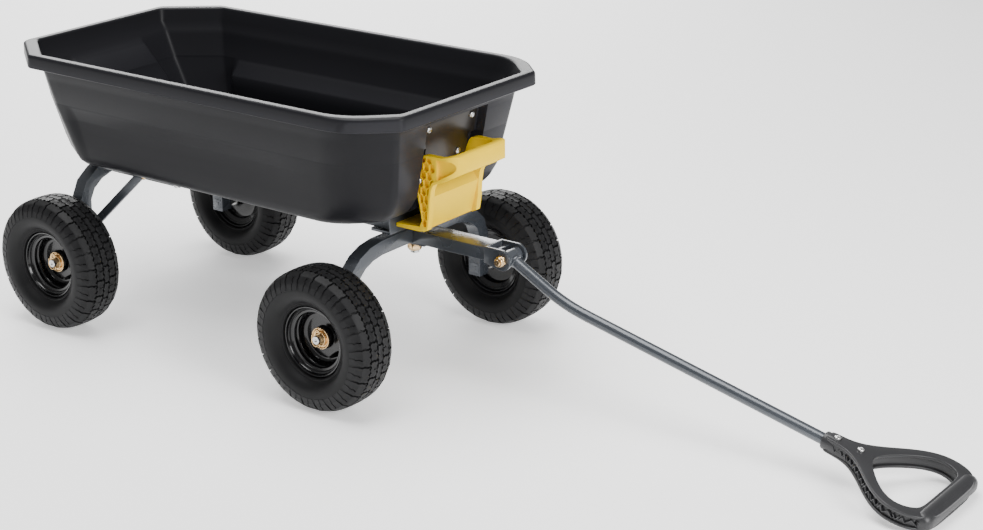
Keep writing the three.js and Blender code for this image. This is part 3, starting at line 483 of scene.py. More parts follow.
tub_rows += [lip_ring(0.0150, 0.5100), lip_ring(0.0148, 0.5155), lip_ring(0.0140, 0.5168),
             lip_ring(0.0058, 0.5168), lip_ring(0.0045, 0.5155), lip_ring(0.0035, 0.4975),
             lip_ring(0.0030, 0.4962), lip_ring(0.0010, 0.4960), lip_ring(0.0000, 0.4972),
             lip_ring(0.0003, 0.5140)]
for step in range(1, 7):
    angle = step * math.pi / 12
    tub_rows.append(lip_ring(0.0003 + lip_edge * (1 - math.cos(angle)),
                             lip_top - lip_edge * (1 - math.sin(angle))))
for step in range(5):
    angle = step * math.pi / 8
    tub_rows.append(lip_ring(0.0150 + lip_inner_edge * math.sin(angle),
                             lip_top - lip_inner_edge * (1 - math.cos(angle))))
for z, rear, front, half, ledge, share in reversed(tub_levels):
    slot = 0.027 if z < recess_top + tub_wall else 0.0
    rise = tub_wall if z < 0.32 else 0.003 if z < 0.34 else 0.0
    tub_rows.append(tub_ring(z + rise, rear + tub_wall, front - tub_wall, half - tub_wall, ledge,
                             share, slot, slot, 0.014, tub_wall))

let_go()
columns = len(tub_rows[0])
bpy.ops.mesh.primitive_grid_add(x_subdivisions=columns, y_subdivisions=len(tub_rows) - 1, size=2)
tub = bpy.context.object
tub.name = "tub_body"
for corner in tub.data.vertices:
    column = round((corner.co.x + 1) / 2 * columns) % columns
    row = round((corner.co.y + 1) / 2 * (len(tub_rows) - 1))
    corner.co = tub_rows[row][column]
take_up(tub)
merge_corners(2e-5)
for level in (tub_floor, tub_floor + tub_wall):
    pick("EDGE", lambda e: e.is_boundary and all(abs(v.co.z - level) < 3e-4 for v in e.verts))
    bpy.ops.mesh.edge_face_add()
face_out()
let_go()
soften(tub, 0.0016, 3, 50)
fit_piece(tub, "tub", tub_poly, ["tub"], 40)

# ---- Tyres ----
# Pneumatic tyres, 254 mm across, with a smooth sidewall, a row of deep lugs on each shoulder
# and three rows of zigzag blocks between them. One is moulded and copied to all four wheels.
tyre_rubber = mix_finish("tyre_rubber", (0.0075, 0.0075, 0.0080), (0.020, 0.020, 0.021), 0.50, 0.12,
                         1300, 0.00008, size=22.0, amount=0.16, edge_highlight_amount=0.5,
                         Specular_IOR_Level=0.18)
wheel_at = {"front_left": (0.330, 0.2515, 0.127), "front_right": (0.330, -0.2515, 0.127),
            "rear_left": (-0.330, 0.2515, 0.127), "rear_right": (-0.330, -0.2515, 0.127)}
wheel_turn = {name: math.pi if "right" in name else 0 for name in wheel_at}
# half of the tyre's section, from the crown out to the bead: [out from the middle, radius]
tyre_section = [(0.0000, 0.1226), (0.0080, 0.1225), (0.0160, 0.1221), (0.0240, 0.1212),
                (0.0310, 0.1194), (0.0365, 0.1163), (0.0408, 0.1118), (0.0440, 0.1062),
                (0.0461, 0.1000), (0.0468, 0.0935), (0.0462, 0.0870), (0.0443, 0.0812),
                (0.0410, 0.0765), (0.0370, 0.0730), (0.0335, 0.0704), (0.0322, 0.0688),
                (0.0326, 0.0672), (0.0310, 0.0656), (0.0280, 0.0650), (0.0228, 0.0650)]


def follow_section(along):
    """The point and the outward direction at this distance along the tyre's section."""
    side = 1 if along >= 0 else -1
    left = abs(along)
    for first, last in zip(tyre_section, tyre_section[1:]):
        run = math.hypot(last[0] - first[0], last[1] - first[1])
        if left <= run:
            break
        left -= run
    t = min(1.0, left / run)
    out = first[0] + t * (last[0] - first[0])
    radius = first[1] + t * (last[1] - first[1])
    return out * side, radius, side * (first[1] - last[1]) / run, (last[0] - first[0]) / run


lugs = 24
tread_radius, tread_height, tread_root = 0.125, 0.0044, 0.0012
pitch = 2 * math.pi * tread_radius / lugs


def tread_block(name, outline, fade_from=1, fade_to=2):
    """A tread block drawn flat as (round the tyre, along its section) and laid on the tyre."""
    block = draw_line(name, [(a, b, 0) for a, b in outline])
    bpy.ops.mesh.edge_face_add()
    bpy.ops.mesh.inset(thickness=0.0004, depth=0)
    pick("FACE", lambda f: len(f.verts) == len(outline) and abs(f.normal.z) > 0.9
         and f.calc_area() > 4e-5)
    bpy.ops.transform.translate(value=(0, 0, tread_height))
    for cut in range(-5, 6):
        whole()
        bpy.ops.mesh.bisect(plane_co=(0, cut * 0.012, 0), plane_no=(0, 1, 0))
    fix_place(block)
    for corner in block.data.vertices:
        fade = min(1.0, max(0.0, (abs(corner.co.y) - fade_from) / (fade_to - fade_from)))
        top = corner.co.z > tread_height / 2
        lift = corner.co.z * (1 - 0.82 * fade) if top else -tread_root
        out, radius, lean, rise = follow_section(corner.co.y)
        out, radius = out + lean * lift, radius + rise * lift
        angle = corner.co.x / tread_radius
        corner.co = (radius * math.sin(angle), out, radius * math.cos(angle))
    return block


shoulder = [(-0.0148, 0.0225), (-0.0100, 0.0250), (-0.0040, 0.0222), (0.0010, 0.0252),
            (0.0060, 0.0225), (0.0110, 0.0250), (0.0152, 0.0225), (0.0138, 0.0275),
            (0.0158, 0.0325), (0.0142, 0.0375), (0.0156, 0.0430), (0.0145, 0.0500),
            (0.0130, 0.0600), (0.0010, 0.0600), (0.0005, 0.0500), (-0.0018, 0.0470),
            (-0.0006, 0.0420), (-0.0030, 0.0370), (-0.0038, 0.0380), (-0.0016, 0.0425),
            (-0.0030, 0.0475), (-0.0008, 0.0510), (-0.0004, 0.0600), (-0.0140, 0.0600),
            (-0.0150, 0.0500), (-0.0138, 0.0430), (-0.0154, 0.0375), (-0.0138, 0.0325),
            (-0.0158, 0.0275)]
middle = [(-0.0146, 0.0085), (-0.0100, 0.0062), (-0.0050, 0.0088), (0.0000, 0.0062),
          (0.0006, 0.0110), (-0.0014, 0.0130), (0.0012, 0.0150), (0.0020, 0.0145),
          (-0.0002, 0.0130), (0.0018, 0.0112), (0.0012, 0.0066), (0.0050, 0.0088),
          (0.0100, 0.0062), (0.0150, 0.0085), (0.0136, 0.0125), (0.0156, 0.0165),
          (0.0144, 0.0205), (0.0100, 0.0230), (0.0050, 0.0204), (0.0000, 0.0232),
          (-0.0050, 0.0204), (-0.0100, 0.0230), (-0.0152, 0.0205), (-0.0138, 0.0165),
          (-0.0156, 0.0125)]
centre = [(-0.0146, -0.0045), (-0.0100, -0.0070), (-0.0050, -0.0046), (0.0000, -0.0070),
          (0.0050, -0.0046), (0.0100, -0.0070), (0.0150, -0.0045), (0.0138, 0.0000),
          (0.0156, 0.0045), (0.0100, 0.0042), (0.0050, 0.0068), (0.0000, 0.0042),
          (-0.0050, 0.0068), (-0.0100, 0.0042), (-0.0148, 0.0062), (-0.0158, 0.0000)]
half_section = tyre_section[::-1]
inner_skin = [(0.0228, 0.0560), (0.0180, 0.0560), (0.0230, 0.0700), (0.0390, 0.0850),
              (0.0405, 0.0980), (0.0330, 0.1120), (0.0200, 0.1160), (0.0, 0.1170)]
profile = [(r, a) for a, r in half_section] + [(r, -a) for a, r in tyre_section[1:]]
profile += [(r, -a) for a, r in inner_skin] + [(r, a) for a, r in inner_skin[::-1][1:]]
tyre = draw_turned("tyre_carcass", profile, 96)
blocks = [tread_block("lug_out", shoulder, 0.030, 0.052),
          tread_block("lug_in", [(-a + pitch / 2, -b) for a, b in shoulder], 0.030, 0.052),
          tread_block("block_out", [(a + pitch / 4, b) for a, b in middle]),
          tread_block("block_in", [(-a + pitch / 4, -b) for a, b in middle]),
          tread_block("block_centre", centre)]
tread = merge_pieces(blocks[0], blocks[1:])
take_up(tread)
face_out()
bpy.ops.mesh.spin(steps=lugs, dupli=True, angle=2 * math.pi, center=(0, 0, 0), axis=(0, 1, 0))
merge_corners()
let_go()
tyre = merge_pieces(tyre, [tread])
for name, at in wheel_at.items():
    wheel_tyre = copy_piece(tyre, "tyre_" + name + "_full", wheel_turn[name], at)
    fit_piece(wheel_tyre, "wheel_" + name, tyre_rubber, ["tyre_" + name], 32)
bpy.data.objects.remove(tyre)

# ---- Rims ----
# Pressed steel rims in gloss black paint: a rolled flange, two steps down into a dish, and
# a hub tube welded through its middle. A short rubber valve stem comes through the dish.
rim_gloss = mix_finish("rim_gloss", (0.0035, 0.0035, 0.004), (0.02, 0.02, 0.022), 0.20, 0.05, 260,
                       0.00004, size=30.0, amount=0.1, edge_highlight_amount=0.2, Coat_Weight=0.3,
                       Coat_Roughness=0.06, Specular_IOR_Level=0.3)
rim_profile = [
    (0.0205, -0.0040), (0.0200, -0.0010), (0.0190, 0.0030), (0.0175, 0.0046), (0.0145, 0.0050),
    (0.0145, -0.0338), (0.0165, -0.0340), (0.0170, -0.0325), (0.0170, -0.0085), (0.0200, -0.0070),
    (0.0410, -0.0070), (0.0450, -0.0075), (0.0477, -0.0100), (0.0477, -0.0170), (0.0540, -0.0200),
    (0.0575, -0.0215), (0.0595, -0.0245), (0.0605, -0.0275), (0.0622, -0.0284), (0.0638, -0.0272),
    (0.0640, -0.0240), (0.0640, -0.0218), (0.0560, -0.0195), (0.0506, -0.0180), (0.0506, 0.0180),
    (0.0560, 0.0195), (0.0640, 0.0218), (0.0640, 0.0250), (0.0636, 0.0272), (0.0622, 0.0284),
    (0.0605, 0.0278), (0.0593, 0.0250), (0.0580, 0.0222), (0.0562, 0.0208), (0.0546, 0.0196),
    (0.0536, 0.0176), (0.0530, 0.0140), (0.0512, 0.0118), (0.0492, 0.0106), (0.0480, 0.0088),
    (0.0474, 0.0040), (0.0462, -0.0005), (0.0440, -0.0032), (0.0410, -0.0044), (0.0380, -0.0046),
    (0.0290, -0.0040), (0.0235, -0.0046)]
rim = draw_turned("rim_pressing", rim_profile, 96)
valve = draw_turned("valve", [(0, 0), (0.0042, 0), (0.0046, 0.003), (0.0036, 0.008), (0.0032, 0.014),
                              (0.0024, 0.0150), (0.0024, 0.0195), (0.0019, 0.0205), (0, 0.0205)], 20)
for name, at in wheel_at.items():
    wheel_rim = copy_piece(rim, "rim_" + name + "_full", wheel_turn[name], at)
    fit_piece(wheel_rim, "wheel_" + name, rim_gloss, ["rim_" + name], 30)
    side = 1 if "left" in name else -1
    spot = (at[0] + 0.026, at[1] - side * 0.0048, at[2] - 0.0265)
    stem = copy_piece(valve, "valve_" + name, wheel_turn[name], spot)
    fit_piece(stem, "wheel_" + name, tyre_rubber, (), 30)
bpy.data.objects.remove(rim)
bpy.data.objects.remove(valve)

# ---- Hubs ----
# A pair of bearings presses into each hub tube. The wheel runs on a stub axle and is held by
# a yellow zinc washer and collar, with a cotter pin bent round the axle's end.
zinc = mix_finish("zinc", (0.50, 0.50, 0.49), (0.75, 0.75, 0.74), 0.28, 0.12, 700, 0.00003,
                  size=60.0, amount=0.12, edge_highlight_amount=0.4, Metallic=1.0)
yellow_zinc = mix_finish("yellow_zinc", (0.66, 0.43, 0.20), (0.9, 0.75, 0.5), 0.24, 0.14, 700,
                         0.00003, size=90.0, amount=0.22, edge_highlight_amount=0.5, Metallic=1.0)
bearing = draw_turned("bearing", [(0.0084, -0.0064), (0.0092, -0.0065), (0.0098, -0.0058),
                                  (0.0120, -0.0058), (0.0126, -0.0065), (0.0134, -0.0065),
                                  (0.0137, -0.0062), (0.0137, 0.0062), (0.0134, 0.0065),
                                  (0.0126, 0.0065), (0.0120, 0.0058), (0.0098, 0.0058),
                                  (0.0092, 0.0065), (0.0084, 0.0064)], 40)
washer = draw_turned("washer", [
    (0.0084, 0.0054), (0.0150, 0.0054), (0.0188, 0.0054), (0.0195, 0.0060), (0.0196, 0.0078),
    (0.0190, 0.0088), (0.0180, 0.0090), (0.0170, 0.0084), (0.0160, 0.0074), (0.0140, 0.0073),
    (0.0136, 0.0078), (0.0136, 0.0098), (0.0131, 0.0107), (0.0122, 0.0109), (0.0108, 0.0109),
    (0.0098, 0.0104), (0.0093, 0.0092), (0.0084, 0.0088)], 48)
stub = draw_turned("stub_axle", [
    (0.0, -0.0700), (0.0072, -0.0700), (0.0080, -0.0692), (0.0080, -0.0505), (0.0110, -0.0505),
    (0.0110, -0.0350), (0.0104, -0.0343), (0.0080, -0.0343), (0.0080, 0.0185), (0.0077, 0.0198),
    (0.0069, 0.0207), (0.0030, 0.0208), (0.0018, 0.0198), (0.0, 0.0193)], 40)


def draw_wire(name, path, radius, rounding, steps=12):
    """A bent round wire along a path, as a mesh."""
    let_go()
    bpy.ops.curve.primitive_bezier_curve_add(location=(0, 0, 0))
    wire = bpy.context.object
    wire.name = name
    knots = wire.data.splines[0].bezier_points
    knots.add(len(path) - 2)
    for knot, place in zip(knots, path):
        knot.co = place
        knot.handle_left_type = "AUTO"
        knot.handle_right_type = "AUTO"
    wire.data.bevel_depth = radius
    wire.data.bevel_resolution = rounding
    wire.data.resolution_u = steps
    wire.data.use_fill_caps = True
    hold(wire)
    bpy.ops.object.convert(target="MESH")
    return wire


pin_across = 0.0158
pin_path = [(0.0098, 0.0020, 0.0075), (0.0085, 0.0020, -0.0090), (0.0010, 0.0012, -0.0118),
            (0.0006, 0.0000, -0.0080), (0.0006, 0.0, 0.0085), (0.0030, 0.0, 0.0135),
            (-0.0012, 0.0, 0.0180), (-0.0052, 0.0, 0.0135), (-0.0010, 0.0, 0.0090),
            (-0.0008, 0.0, -0.0085), (-0.0030, 0.0014, -0.0118), (-0.0098, 0.0020, -0.0070)]
pin = draw_wire("cotter_pin", [(x, y + pin_across, z) for x, y, z in pin_path], 0.0011, 3)
wheel_carrier = {name: "steering" if "front" in name else "frame" for name in wheel_at}
for name, at in wheel_at.items():
    turn = wheel_turn[name]
    side = 1 if "left" in name else -1
    carrier = wheel_carrier[name]
    for where, reach in (("outer", -0.0015), ("inner", -0.0275)):
        race = copy_piece(bearing, f"bearing_{where}_{name}_full", turn,
                          (at[0], at[1] + side * reach, at[2]))
        fit_piece(race, "wheel_" + name, zinc, [f"bearing_{where}_{name}"])
    fit_piece(copy_piece(washer, f"washer_{name}_full", turn, at), carrier, yellow_zinc,
              ["washer_" + name])
    fit_piece(copy_piece(stub, f"axle_{name}_full", turn, at), carrier, zinc,
              ["axle_" + name])
    fit_piece(copy_piece(pin, f"cotter_pin_{name}_full", turn, at), carrier, yellow_zinc,
              ["cotter_pin_" + name], 60)
for model in (bearing, washer, stub, pin):
    bpy.data.objects.remove(model)

# ---- Arches, rails and braces ----
# Square steel tube bent on a former and welded, in slate grey powder coat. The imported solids
# already have the right bends, so each is merged and given the tube's rolled corners. A web
# joins the clevis's cheeks, and a small square pad with a boss closes each leg.
frame_paint = mix_finish("frame_paint", (0.040, 0.046, 0.055), (0.15, 0.16, 0.18), 0.27, 0.10, 420,
                         0.00010, size=18.0, amount=0.10, edge_highlight_amount=0.35, Metallic=0.35,
                         Coat_Weight=0.35, Coat_Roughness=0.2)


def roll_edges(node, name, width):
    """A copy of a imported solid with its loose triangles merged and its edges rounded."""
    hold(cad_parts[node])
    bpy.ops.object.duplicate(linked=False)
    piece = bpy.context.object
    piece.parent = None
    for key in list(piece.keys()):
        if key.startswith("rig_"):
            del piece[key]
    piece.name = name
    piece.data.name = name
    piece.matrix_world = Matrix.Identity(4)
    take_up(piece)
    merge_corners(2e-6)
    whole()
    bpy.ops.mesh.dissolve_limited(angle_limit=math.radians(1.0))
    let_go()
    soften(piece, width, 3, 40)
    piece.location = -axle_middle
    fix_place(piece)
    return piece


for node, body, radius in (
        ("front_arch", "steering", 0.0038), ("rear_arch", "frame", 0.0038),
        ("rail_left", "frame", 0.0035), ("rail_right", "frame", 0.0035),
        ("support_pan", "frame", 0.0012), ("brace_left", "frame", 0.0016),
        ("brace_right", "frame", 0.0016), ("front_plate", "frame", 0.0012),
        ("tongue", "steering", 0.0026), ("clevis", "steering", 0.0012),
        ("tub_hinge_left", "tub", 0.001), ("tub_hinge_right", "tub", 0.001)):
    fit_piece(roll_edges(node, node + "_full", radius), body, frame_paint, [node], 30)

web = draw_slab("clevis_web", [(0.5038, -0.0208, 0.2500), (0.5038, 0.0208, 0.2500),
                               (0.5038, 0.0208, 0.2530), (0.5038, -0.0208, 0.2530)],
                (0.0205, 0, 0.0030))
soften(web, 0.0006, 2)
fit_piece(web, "steering", frame_paint)


def leg_square(name, half, inner, thick, rounding):
    """A small square plate on the inner side of a leg."""
    plate = draw_slab(name, [(-half, inner, -half), (half, inner, -half), (half, inner, half),
                             (-half, inner, half)], (0, -thick, 0))
    soften(plate, rounding, 2)
    return plate


pad = merge_pieces(leg_square("leg_pad", 0.0095, -0.0768, 0.0012, 0.0005),
                   [leg_square("leg_boss", 0.0035, -0.0778, 0.0009, 0.0003)])
for name, at in wheel_at.items():
    fit_piece(copy_piece(pad, "leg_pad_" + name, wheel_turn[name], at), wheel_carrier[name],
              frame_paint)
bpy.data.objects.remove(pad)

# ---- Kingpin, hinge and clevis hardware ----
# Zinc plated steel: a kingpin with its thrust washer and nut, the tub's hinge rod, the
# lever's rod, and a bolt and lock nut through the clevis in yellow zinc.
def hex_head(name, across, thick, along, at, turn=0.0):
    """A six-sided head or nut along an axis, with its corners chamfered as a real one's are."""
    let_go()
    lay = {"X": (0, math.pi / 2, 0), "Y": (math.pi / 2, 0, 0), "Z": (0, 0, 0)}[along]
    bpy.ops.mesh.primitive_cylinder_add(vertices=6, radius=across / math.sqrt(3), depth=thick)
    head = bpy.context.object
    head.name = name
    bpy.ops.mesh.primitive_cone_add(vertices=48, radius1=across * 0.62, radius2=across * 0.44,
                                    depth=thick * 0.999)
    carve(head, bpy.context.object, "INTERSECT")
    soften(head, 0.0003, 1, 20)
    head.rotation_euler = (0, 0, turn)
    fix_place(head)
    head.rotation_euler = lay
    head.location = at
    fix_place(head)
    return head


def shaft(name, profile, at, axis="Y", steps=32):
    """A turned pin from [radius, along] points, moved to its place."""
    pin = draw_turned(name, profile, steps, axis)
    pin.location = at
    fix_place(pin)
    return pin


def plain_shaft(name, radius, low, high, at, axis="Y"):
    """A straight shaft with chamfered ends."""
    edge = radius * 0.12
    return shaft(name, [(0, low), (radius - edge, low), (radius, low + edge), (radius, high - edge),
                        (radius - edge, high), (0, high)], at, axis)


fit_piece(plain_shaft("hinge_rod_full", 0.005, -0.108, 0.108, (-0.354, 0, 0.284)), "frame", zinc,
          ["hinge_rod"])
rod_x, rod_z = 0.403, 0.375
rod_head = [(0.0, 0.0765), (0.0062, 0.0765), (0.0066, 0.0772), (0.0058, 0.0786), (0.0036, 0.0792),
            (0, 0.0793)]
lever_pin = merge_pieces(
    plain_shaft("lever_rod_full", 0.004, -0.0765, 0.0765, (rod_x, 0, rod_z)),
    [shaft("rod_head_" + name, [(r, side * a) for r, a in rod_head], (rod_x, 0, rod_z))
     for name, side in (("left", 1), ("right", -1))])
fit_piece(lever_pin, "tub", zinc, ["lever_rod"])
fit_piece(shaft("thrust_washer_full", [
    (0.0083, 0.2623), (0.0236, 0.2623), (0.0240, 0.2627), (0.0240, 0.2684), (0.0236, 0.2688),
    (0.0083, 0.2688)], (0.330, 0, 0), "Z"), "steering", zinc, ["thrust_washer"])
kingpin = merge_pieces(plain_shaft("kingpin_full", 0.008, 0.2090, 0.2790, (0.330, 0, 0), "Z"),
                       [hex_head("kingpin_head", 0.024, 0.0098, "Z", (0.330, 0, 0.2803))])
fit_piece(kingpin, "steering", zinc, ["kingpin"])
king_nut = hex_head("kingpin_nut_full", 0.024, 0.0135, "Z", (0.330, 0, 0.2245), 0.35)
king_collar = shaft("kingpin_nut_flange", [(0.0083, 0.2145), (0.0110, 0.2145), (0.0122, 0.2160),
                                           (0.0125, 0.2178), (0.0083, 0.2178)],
                    (0.330, 0, 0), "Z")
fit_piece(merge_pieces(king_nut, [king_collar]), "steering", yellow_zinc,
          ["kingpin_nut"], 30)
clevis_pin = plain_shaft("clevis_bolt_full", 0.006, -0.0398, 0.0300, (0.541, 0, 0.243))
clevis_head = hex_head("clevis_bolt_head", 0.019, 0.0078, "Y", (0.541, 0.0297, 0.243), 0.2)
fit_piece(merge_pieces(clevis_pin, [clevis_head]), "handle", yellow_zinc,
          ["clevis_bolt"], 30)
nut = hex_head("clevis_nut_full", 0.019, 0.0066, "Y", (0.541, -0.0291, 0.243), 0.3)
nut_ring = shaft("clevis_nut_ring", [(0.0063, -0.0318), (0.0093, -0.0318), (0.0090, -0.0345),
                                     (0.0082, -0.0358), (0.0063, -0.0358)], (0.541, 0, 0.243))
fit_piece(merge_pieces(nut, [nut_ring]), "handle", yellow_zinc, ["clevis_nut"], 30)

# ---- Pan bolts ----
# Two round-headed steel screws along each turned-down edge of the support pan, driven in from
# the side. The rear one, by the brace, is yellow zinc and the front one is bright zinc.
pan_screw = [(0, 0), (0.0052, 0), (0.0056, 0.0008), (0.0048, 0.0030), (0.0030, 0.0040),
             (0.0026, 0.0034), (0, 0.0034)]
for number, (x, y, finish, slot) in enumerate((
        (-0.178, -0.1652, yellow_zinc, "yellow_zinc"), (-0.094, -0.1652, zinc, "zinc"),
        (-0.178, 0.1652, yellow_zinc, "yellow_zinc"), (-0.094, 0.1652, zinc, "zinc"))):
    side = -1 if y < 0 else 1
    screw = shaft(f"pan_screw_{number + 1}", [(r, side * a) for r, a in pan_screw],
                  (x, y, 0.2985), "Y", 20)
    fit_piece(screw, "frame", finish)

# ---- Lever bracket ----
# Folded sheet steel with a dark bronze coat, bolted in the recess by four round heads. Two
# ears carry the lever's rod and a small torsion spring.
bracket_steel = mix_finish("bracket_steel", (0.020, 0.016, 0.0125), (0.06, 0.05, 0.04), 0.34, 0.1,
                           500, 0.00006, size=14.0, amount=0.25, edge_highlight_amount=0.3, Metallic=0.4)
sheet = 0.003


def plate_back(z, half):
    """Two points on the back of the bracket's plate, at one height."""
    x = tub_front_at(z) - 0.0177
    return [(x, -half, z), (x, half, z)]


bracket = draw_slab("lever_bracket_full", [
    *plate_back(0.345, 0.060), plate_back(0.4283, 0.060)[1], plate_back(0.4283, 0.075)[1],
    *plate_back(0.472, 0.075)[::-1], plate_back(0.4283, 0.075)[0], plate_back(0.4283, 0.060)[0]],
    (sheet, 0, 0))
soften(bracket, 0.0007, 2)
ears = []
for side in (-1, 1):
    ear = [(plate_back(0.363, 0)[0][0] + 0.001, 0, 0.363)]
    for i in range(9):
        angle = -math.pi / 2 + i * math.pi / 8
        ear.append((rod_x + 0.008 * math.cos(angle), 0, rod_z + 0.008 * math.sin(angle)))
    ear.append((plate_back(0.387, 0)[0][0] + 0.001, 0, 0.387))
    tab = draw_slab("bracket_ear", [(x, side * 0.050 - sheet / 2, z) for x, y, z in ear],
                    (0, sheet, 0))
    soften(tab, 0.0005, 2)
    ears.append(tab)
fit_piece(merge_pieces(bracket, ears), "tub", bracket_steel,
          ["lever_bracket"], 30)
head_profile = [(0, 0), (0.0060, 0), (0.0064, 0.0006), (0.0061, 0.0018), (0.0050, 0.0030),
                (0.0034, 0.0037), (0.0014, 0.0039), (0.0, 0.0039)]
for number, (y, z) in enumerate(((0.060, 0.463), (-0.060, 0.463), (0.034, 0.402),
                                 (-0.034, 0.402)), 1):
    bolt = draw_turned(f"plate_bolt_{number}_full",
                       [(0, -0.016), (0.003, -0.016), (0.003, 0)] + head_profile[1:], 28, "X")
    bolt.rotation_euler = (0, math.atan(tub_slope), 0)
    bolt.location = (tub_front_at(z) - 0.0145, y, z)
    fix_place(bolt)
    fit_piece(bolt, "tub", zinc, [f"plate_bolt_{number}"], 40)
turns, per_turn = 7, 12
coil_radius, coil_rise = 0.0049, 0.0015
coil = []
for i in range(turns * per_turn + 1):
    angle = i * 2 * math.pi / per_turn
    coil.append((rod_x + coil_radius * math.cos(angle), -0.045 + coil_rise * i / per_turn,
                 rod_z + coil_radius * math.sin(angle)))
fit_piece(draw_wire("lever_spring_full", coil, 0.0006, 2, 3), "lever", zinc,
          ["lever_spring"], 60)

# ---- Latch lever ----
# One yellow nylon moulding: two ribbed cheeks on the rod, a hand bar across the front, a
# scooped panel between the cheeks and a toe at the frame's front plate. Its sides are cored
# out, plain along the bar and with thin six-sided ribs down the cheek.
lever_yellow = mix_finish("lever_yellow", (0.92, 0.60, 0.001), (0.97, 0.70, 0.01), 0.45, 0.08, 900,
                          0.00004, size=10.0, amount=0.05, edge_highlight_amount=0.3, Specular_IOR_Level=0.08)
lever_half, cheek = 0.075, 0.012


def by_rod(points, y):
    """Lever points given in millimetres from the rod, on one upright plane."""
    return [(rod_x + x / 1000, y, rod_z + z / 1000) for x, z in points]


lever_side = [(3, 40), (-2, 29), (-6, 16), (-8, 6), (-9, -3), (-8, -12), (-6, -22), (-3, -33),
              (-1, -42), (2, -56), (5, -72), (-2, -86), (8, -92), (16, -88), (18, -80), (21, -59),
              (23, -31), (26, -14), (31, -4), (38, 0), (47, 2), (62, 10), (79, 19), (84, 22),
              (86, 27), (86, 42), (84, 48), (79, 52), (74, 52), (62, 50), (48, 47), (30, 47),
              (16, 47), (8, 45)]
latch = draw_slab("latch_lever_full", by_rod(lever_side, -lever_half), (0, 2 * lever_half, 0))
plan = [(rod_x - 0.014, lever_half)]
for i in range(7):
    angle = math.pi / 2 - i * math.pi / 12
    plan.append((rod_x + 0.060 + 0.026 * math.cos(angle), 0.049 + 0.026 * math.sin(angle)))
plan += [(x, -y) for x, y in reversed(plan)]
plan.append((rod_x - 0.014, cheek - lever_half))
for i in range(5):
    angle = -math.pi / 2 + i * math.pi / 8
    plan.append((rod_x + 0.047 + 0.016 * math.cos(angle), -0.047 + 0.016 * math.sin(angle)))
plan += [(x, -y) for x, y in reversed(plan[-6:])]
loop = draw_slab("lever_loop", [(x, y, rod_z - 0.12) for x, y in plan], (0, 0, 0.2))
carve(latch, loop, "INTERSECT")
panel_side = [(22, -29), (21.2, -34), (7.5, -87), (4, -91), (-2, -93), (-52.5, -93.5), (-53, -92),
              (-53, -88), (-52, -86.8), (-20, -84.5), (-2, -83), (3, -80), (16.5, -34), (14, -31),
              (3, -20), (2, -14), (5, -13), (12, -17), (20, -27)]
panel = draw_slab("lever_panel", by_rod(panel_side, -0.0645), (0, 0.129, 0))
carve(latch, panel, "UNION")
toe_side = [(-53, -93.5), (-8, -93.5), (2, -92.5), (8, -90), (2, -83), (-8, -84.6), (-52, -86.8),
            (-53, -88)]
toe = draw_slab("lever_toe", by_rod(toe_side, -0.0738), (0, 0.1476, 0))
carve(latch, toe, "UNION")
soften(latch, 0.0013, 3, 40)
core_side = [(7, 41), (1.5, 28), (-2.5, 15), (-4.5, 4), (-4.8, -6), (-3, -20), (0, -34), (3, -50),
             (6.5, -68), (4, -76), (8, -83), (13.5, -82), (15, -76), (17, -57), (19, -31),
             (22, -12), (28, 0), (37, 5), (46, 9), (60, 17), (72, 24), (76, 29), (77, 34),
             (75, 39), (70, 43), (58, 43), (46, 42), (30, 42), (14, 42)]
for side in (-1, 1):
    core = draw_slab("lever_core", by_rod(core_side, side * 0.0765), (0, -side * 0.0100, 0))
    cells = []
    for row in range(-7, 5):
        for column in range(-2, 3):
            x = rod_x + 0.002 + (column + (row % 2) / 2) * 0.0130
            z = rod_z - 0.004 + row * 0.0146
            if x > rod_x + 0.030:
                continue
            bpy.ops.mesh.primitive_cylinder_add(vertices=6, radius=0.0090, depth=0.03,
                                                location=(x, side * 0.070, z))
            cell = bpy.context.object
            cell.rotation_euler = (math.pi / 2, 0, 0)
            cell.scale = (0.75, 1, 1)
            cells.append(cell)
    cells.append(draw_slab("lever_pocket", by_rod([(38, 0), (80, 0), (80, 50), (38, 50)],
                                                  side * 0.055), (0, side * 0.03, 0)))
    for cell in cells:
        fix_place(cell)
    comb = merge_pieces(cells[0], cells[1:])
    deep = copy_piece(core, "lever_core_deep")
    core.location = (0, side * 0.0074, 0)
    fix_place(core)
    carve(deep, comb, "INTERSECT")
    carve(latch, core)
    carve(latch, deep)
fit_piece(latch, "lever", lever_yellow, ["latch_lever"], 30)

# ---- Pull handle ----
# A 20 mm round steel tube with one bend, in the frame's powder coat. A cross sleeve welded on
# its end turns on the clevis bolt.
hitch = Vector((0.541, 0, 0.243))
elbow = Vector((0.655, 0, 0.181))
bar_at = Vector((1.366, 0, 0.016))
drop = (elbow - hitch).normalized()
pull = (bar_at - elbow).normalized()
tube_end = bar_at - pull * 0.142
route = [hitch + drop * 0.010, hitch + drop * 0.045]
for i in range(13):
    t = i / 12
    route.append((elbow - drop * 0.045) * (1 - t) ** 2 + elbow * 2 * t * (1 - t)
                 + (elbow + pull * 0.045) * t ** 2)
route += [elbow + pull * 0.2, elbow + pull * 0.4, tube_end]
let_go()
bpy.ops.curve.primitive_bezier_curve_add(location=(0, 0, 0))
tube = bpy.context.object
tube.name = "handle_tube_full"
tube.data.splines.clear()
line = tube.data.splines.new("POLY")
line.points.add(len(route) - 1)
for knot, spot in zip(line.points, route):
    knot.co = (*spot, 1)
tube.data.bevel_depth = 0.010
tube.data.bevel_resolution = 8
tube.data.use_fill_caps = True
hold(tube)
bpy.ops.object.convert(target="MESH")
sleeve = shaft("handle_sleeve", [(0.0063, -0.0202), (0.0120, -0.0202), (0.0130, -0.0192),
                                 (0.0130, 0.0192), (0.0120, 0.0202), (0.0063, 0.0202)], hitch)
